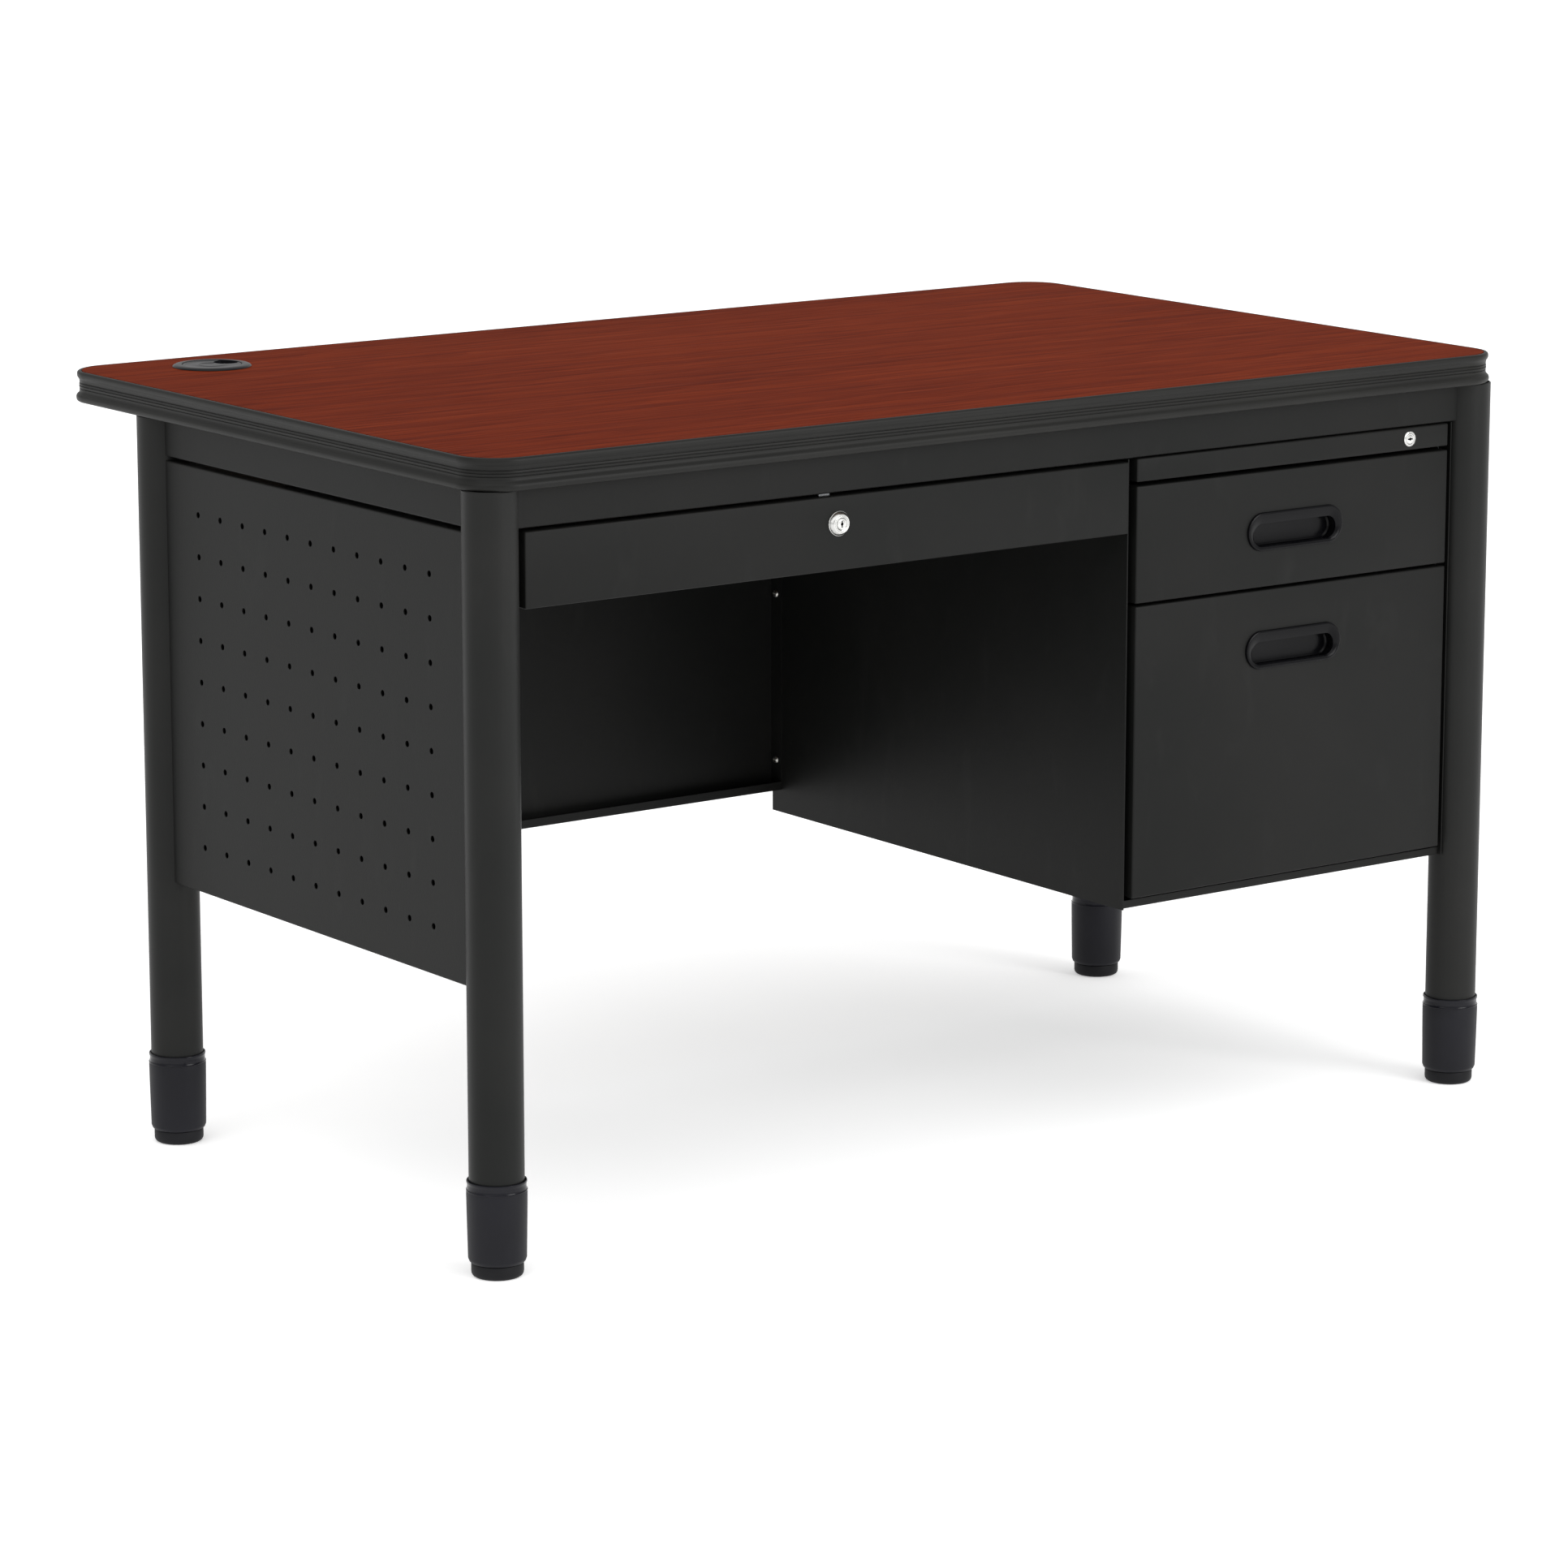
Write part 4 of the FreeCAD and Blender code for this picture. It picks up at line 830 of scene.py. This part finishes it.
def makeCentreFront():
    # the slot in the upper edge lets the lock's bolt through
    piece, low, high = foldedFront("centreFoldedFront", "centre_drawer_front")
    boltLow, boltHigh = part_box("centre_lock_bolt")
    x, _, z = middleOf("centre_lock_collar")
    slotLow = (boltLow[0] - boltSlot["side"], boltLow[1] - boltSlot["ends"], high[2] - 0.004)
    slotHigh = (boltLow[0] + boltSlot["length"], boltHigh[1] + boltSlot["ends"],
                high[2] + 0.002)
    cut(piece, disc("cutter", (x, low[1], z), boltSlot["collarHole"], 0.012, "Y"),
        block("cutter", slotLow, slotHigh))
    finishPiece(piece, "centre_drawer", "black_powder_coat", steel, "centre_drawer_front")


makeCentreFront()
print("drawer fronts and pulls")


# Locks: profiles are radius, distance behind the face

lockShape = {
    "bore": 0.00556, "body": 0.0075, "collarSteps": 96, "steps": 72,
    "collar": [
        (0.0119, -0.0001), (0.0119, -0.0007), (0.0116, -0.0012), (0.0113, -0.0014),
        (0.0111, -0.0020), (0.0098, -0.0037), (0.0091, -0.0046), (0.0086, -0.0050),
        (0.0080, -0.0050), (0.0077, -0.0046), (0.0074, -0.0046), (0.0071, -0.0050),
        (0.0064, -0.0051), (0.0058, -0.0049), (0.00556, -0.0044)],
    "rim": [
        (0.00556, 0.0), (0.0062, 0.0), (0.0068, 0.0003), (0.0071, 0.0001), (0.0074, 0.0002),
        (0.0075, 0.0005)],
    "plug": [
        (0.0, 0.0), (0.0036, 0.00002), (0.0042, 0.0002), (0.0045, 0.0002), (0.0050, 0.0001),
        (0.0054, 0.0005), (0.0055, 0.0010)],
    "camBehind": 0.006, "camRadius": 0.0090, "camThickness": 0.0020, "camEdge": 0.0004,
    # the depth behind the plug's face where the painted shade inside the keyhole begins
    "keyhole": (0.0032, 0.0007), "keyholeDepth": 0.0048, "keyholeShadeFrom": 0.0007,
    "notch": 0.0015, "notchDepth": 0.0068,
    "pin": [
        (0.0, 0.0), (0.0018, 0.0), (0.0020, 0.0002), (0.0020, 0.0038), (0.0017, 0.0041),
        (0.0, 0.0041)],
    "pinOff": 0.006,     # from the lock's axis
}


def makeCentreRings():
    x, _, z = middleOf("centre_lock_collar")
    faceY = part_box("centre_drawer_front")[0][1]
    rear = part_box("centre_lock_collar")[1][1] - faceY
    bore, body, outside = lockShape["bore"], lockShape["body"], lockShape["collar"]
    profile = outside + [(bore, rear), (body, rear), (body, outside[0][1]), outside[0]]
    collar = turned("centreLockRings", profile, (x, faceY, z), "Y", lockShape["collarSteps"])
    finishPiece(collar, "centre_drawer", "chrome_lock", chrome, "centre_lock_collar", angle=24)


def makePedestalRim():
    x, _, z = middleOf("pedestal_lock_housing")
    low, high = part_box("pedestal_lock_housing")
    bore, body, rear = lockShape["bore"], lockShape["body"], high[1] - low[1]
    profile = lockShape["rim"] + [(body, rear), (bore, rear), (bore, 0.0)]
    rim = turned("pedestalLockRim", profile, (x, low[1], z), "Y", lockShape["steps"])
    finishPiece(rim, "desk", "chrome_lock", chrome, "pedestal_lock_housing", angle=24)


def makeKeyPlug(lock, around, upright, pinSide):
    # the plug with its cam at the back and the pin that lifts the bolt
    x, _, z = middleOf(around)
    low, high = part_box(lock + "_plug")
    front = low[1]
    cam = high[1] - front - lockShape["camBehind"]
    radius, edge = lockShape["camRadius"], lockShape["camEdge"]
    camBack = cam + lockShape["camThickness"]
    profile = lockShape["plug"] + [
        (lockShape["plug"][-1][0], cam), (radius - edge, cam), (radius, cam + edge),
        (radius, camBack - edge), (radius - edge, camBack), (0.0, camBack)]
    name = "centre" if upright else "pedestal"
    plug = turned(name + "PlugFace", profile, (x, front, z), "Y", lockShape["steps"])
    tall, wide = lockShape["keyhole"] if upright else lockShape["keyhole"][::-1]
    keyhole = block("cutter", (x - wide, front - 0.002, z - tall),
                    (x + wide, front + lockShape["keyholeDepth"], z + tall))
    notch = disc("cutter", (x, front + 0.0014, z), lockShape["notch"],
                 lockShape["notchDepth"], "Y", 24)
    cut(plug, keyhole, notch)
    pinLength = lockShape["pin"][-1][1]
    pin = turned(name + "Pin", lockShape["pin"],
                 (x + pinSide * lockShape["pinOff"], high[1] - pinLength, z), "Y", 32)
    piece = joinPieces([plug, pin], name + "KeyPlug")
    # the plug's chrome is painted near-black behind its face: painted shade inside the keyhole
    face = makeMetal(name + "PlugFaceChrome", face=front + lockShape["keyholeShadeFrom"], **chromeLook)
    finishPiece(piece, lock, "chrome_lock", face, lock + "_plug")


makeCentreRings()
makeKeyPlug("centre_lock", "centre_lock_collar", True, -1)
makePedestalRim()
makeKeyPlug("pedestal_lock", "pedestal_lock_housing", False, 1)
print("locks")


# Grommet

grommetShape = {
    "ring": [            # radius, height above the laminate
        (0.0294, 0.0022), (0.0299, 0.0025), (0.0312, 0.0026), (0.0340, 0.0025),
        (0.0362, 0.0021), (0.0377, 0.0014), (0.0385, 0.0005), (0.0384, 0.0001),
        (0.0318, 0.0001), (0.0318, -0.0240), (0.0295, -0.0240), (0.0295, -0.0045),
        (0.0266, -0.0032), (0.0265, -0.0018), (0.0294, -0.0018), (0.0294, 0.0022)],
    "cap": [             # top, then the underside
        (0.0, 0.0016), (0.0120, 0.0016), (0.0128, 0.0019), (0.0136, 0.0016), (0.0262, 0.0017),
        (0.0274, 0.0021), (0.0284, 0.0021), (0.0291, 0.0016), (0.0292, 0.0004),
        (0.0290, -0.0012), (0.0262, -0.0014), (0.0250, -0.0006), (0.0, -0.0006)],
    "cableHole": 0.0125, "cableX": 0.0204, "cableY": 0.0072,
}


def makeGrommet():
    x, y, _ = middleOf("grommet_ring")
    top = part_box("desktop_laminate")[1][2]
    ring = turned("grommetFlange", grommetShape["ring"], (x, y, top), "Z", 96)
    finishPiece(ring, "desk", "grommet_plastic", grommetPlastic, "grommet_ring")
    cap = turned("grommetLidDisc", grommetShape["cap"], (x, y, top), "Z", 96)
    place = (x + grommetShape["cableX"], y + grommetShape["cableY"], top)
    cut(cap, disc("cutter", place, grommetShape["cableHole"], 0.02, "Z", 64))
    finishPiece(cap, "grommet_lid", "grommet_plastic", grommetPlastic, "grommet_cap", angle=30)


makeGrommet()
print("grommet")


# Modesty panel screws: pan heads with a cross recess

screwShape = {
    "head": 0.0042, "proud": 0.0022, "shank": 0.0021, "length": 0.0070,
    "slotReach": 0.0021, "slotHalf": 0.00045, "slotDepth": 0.0013,
    "flange": 0.0012,    # thickness of the metal under the heads
    "heights": (0.075, 0.5, 0.925),
}


def panelScrew(seat, way, y, z):
    head, proud, shank = screwShape["head"], screwShape["proud"], screwShape["shank"]
    end = -way * screwShape["length"]
    screw = turned("panelScrew", [
        (0.0, way * proud), (head * 0.5, way * proud * 0.95), (head * 0.8, way * proud * 0.7),
        (head * 0.97, way * proud * 0.3), (head, 0.0), (shank, 0.0), (shank, end),
        (0.0, end)], (seat, y, z), "X", 32)
    reach, half = screwShape["slotReach"], screwShape["slotHalf"]
    tip = seat + way * proud
    near, far = sorted((tip + way * 0.001, tip - way * screwShape["slotDepth"]))
    for tall, deep in ((reach, half), (half, reach)):
        cut(screw, block("cutter", (near, y - deep, z - tall), (far, y + deep, z + tall)))
    openMesh(screw)
    closeMesh(clean=True)
    return screw


def makePanelScrews():
    low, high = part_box("modesty_panel")
    y = middleOf("modesty_panel_screws")[1]
    heights = [low[2] + (high[2] - low[2]) * share for share in screwShape["heights"]]
    screws = []
    for seat, way in ((high[0] - screwShape["flange"], -1), (low[0] + screwShape["flange"], 1)):
        first = panelScrew(seat, way, y, heights[0])
        screws.append(first)
        for height in heights[1:]:
            screws.append(copyPiece(first, "panelScrew", (0, 0, height - heights[0])))
    joined = joinPieces(screws, "panelScrews")
    finishPiece(joined, "desk", "plated_screw", plated, "modesty_panel_screws")


makePanelScrews()
print("screws")
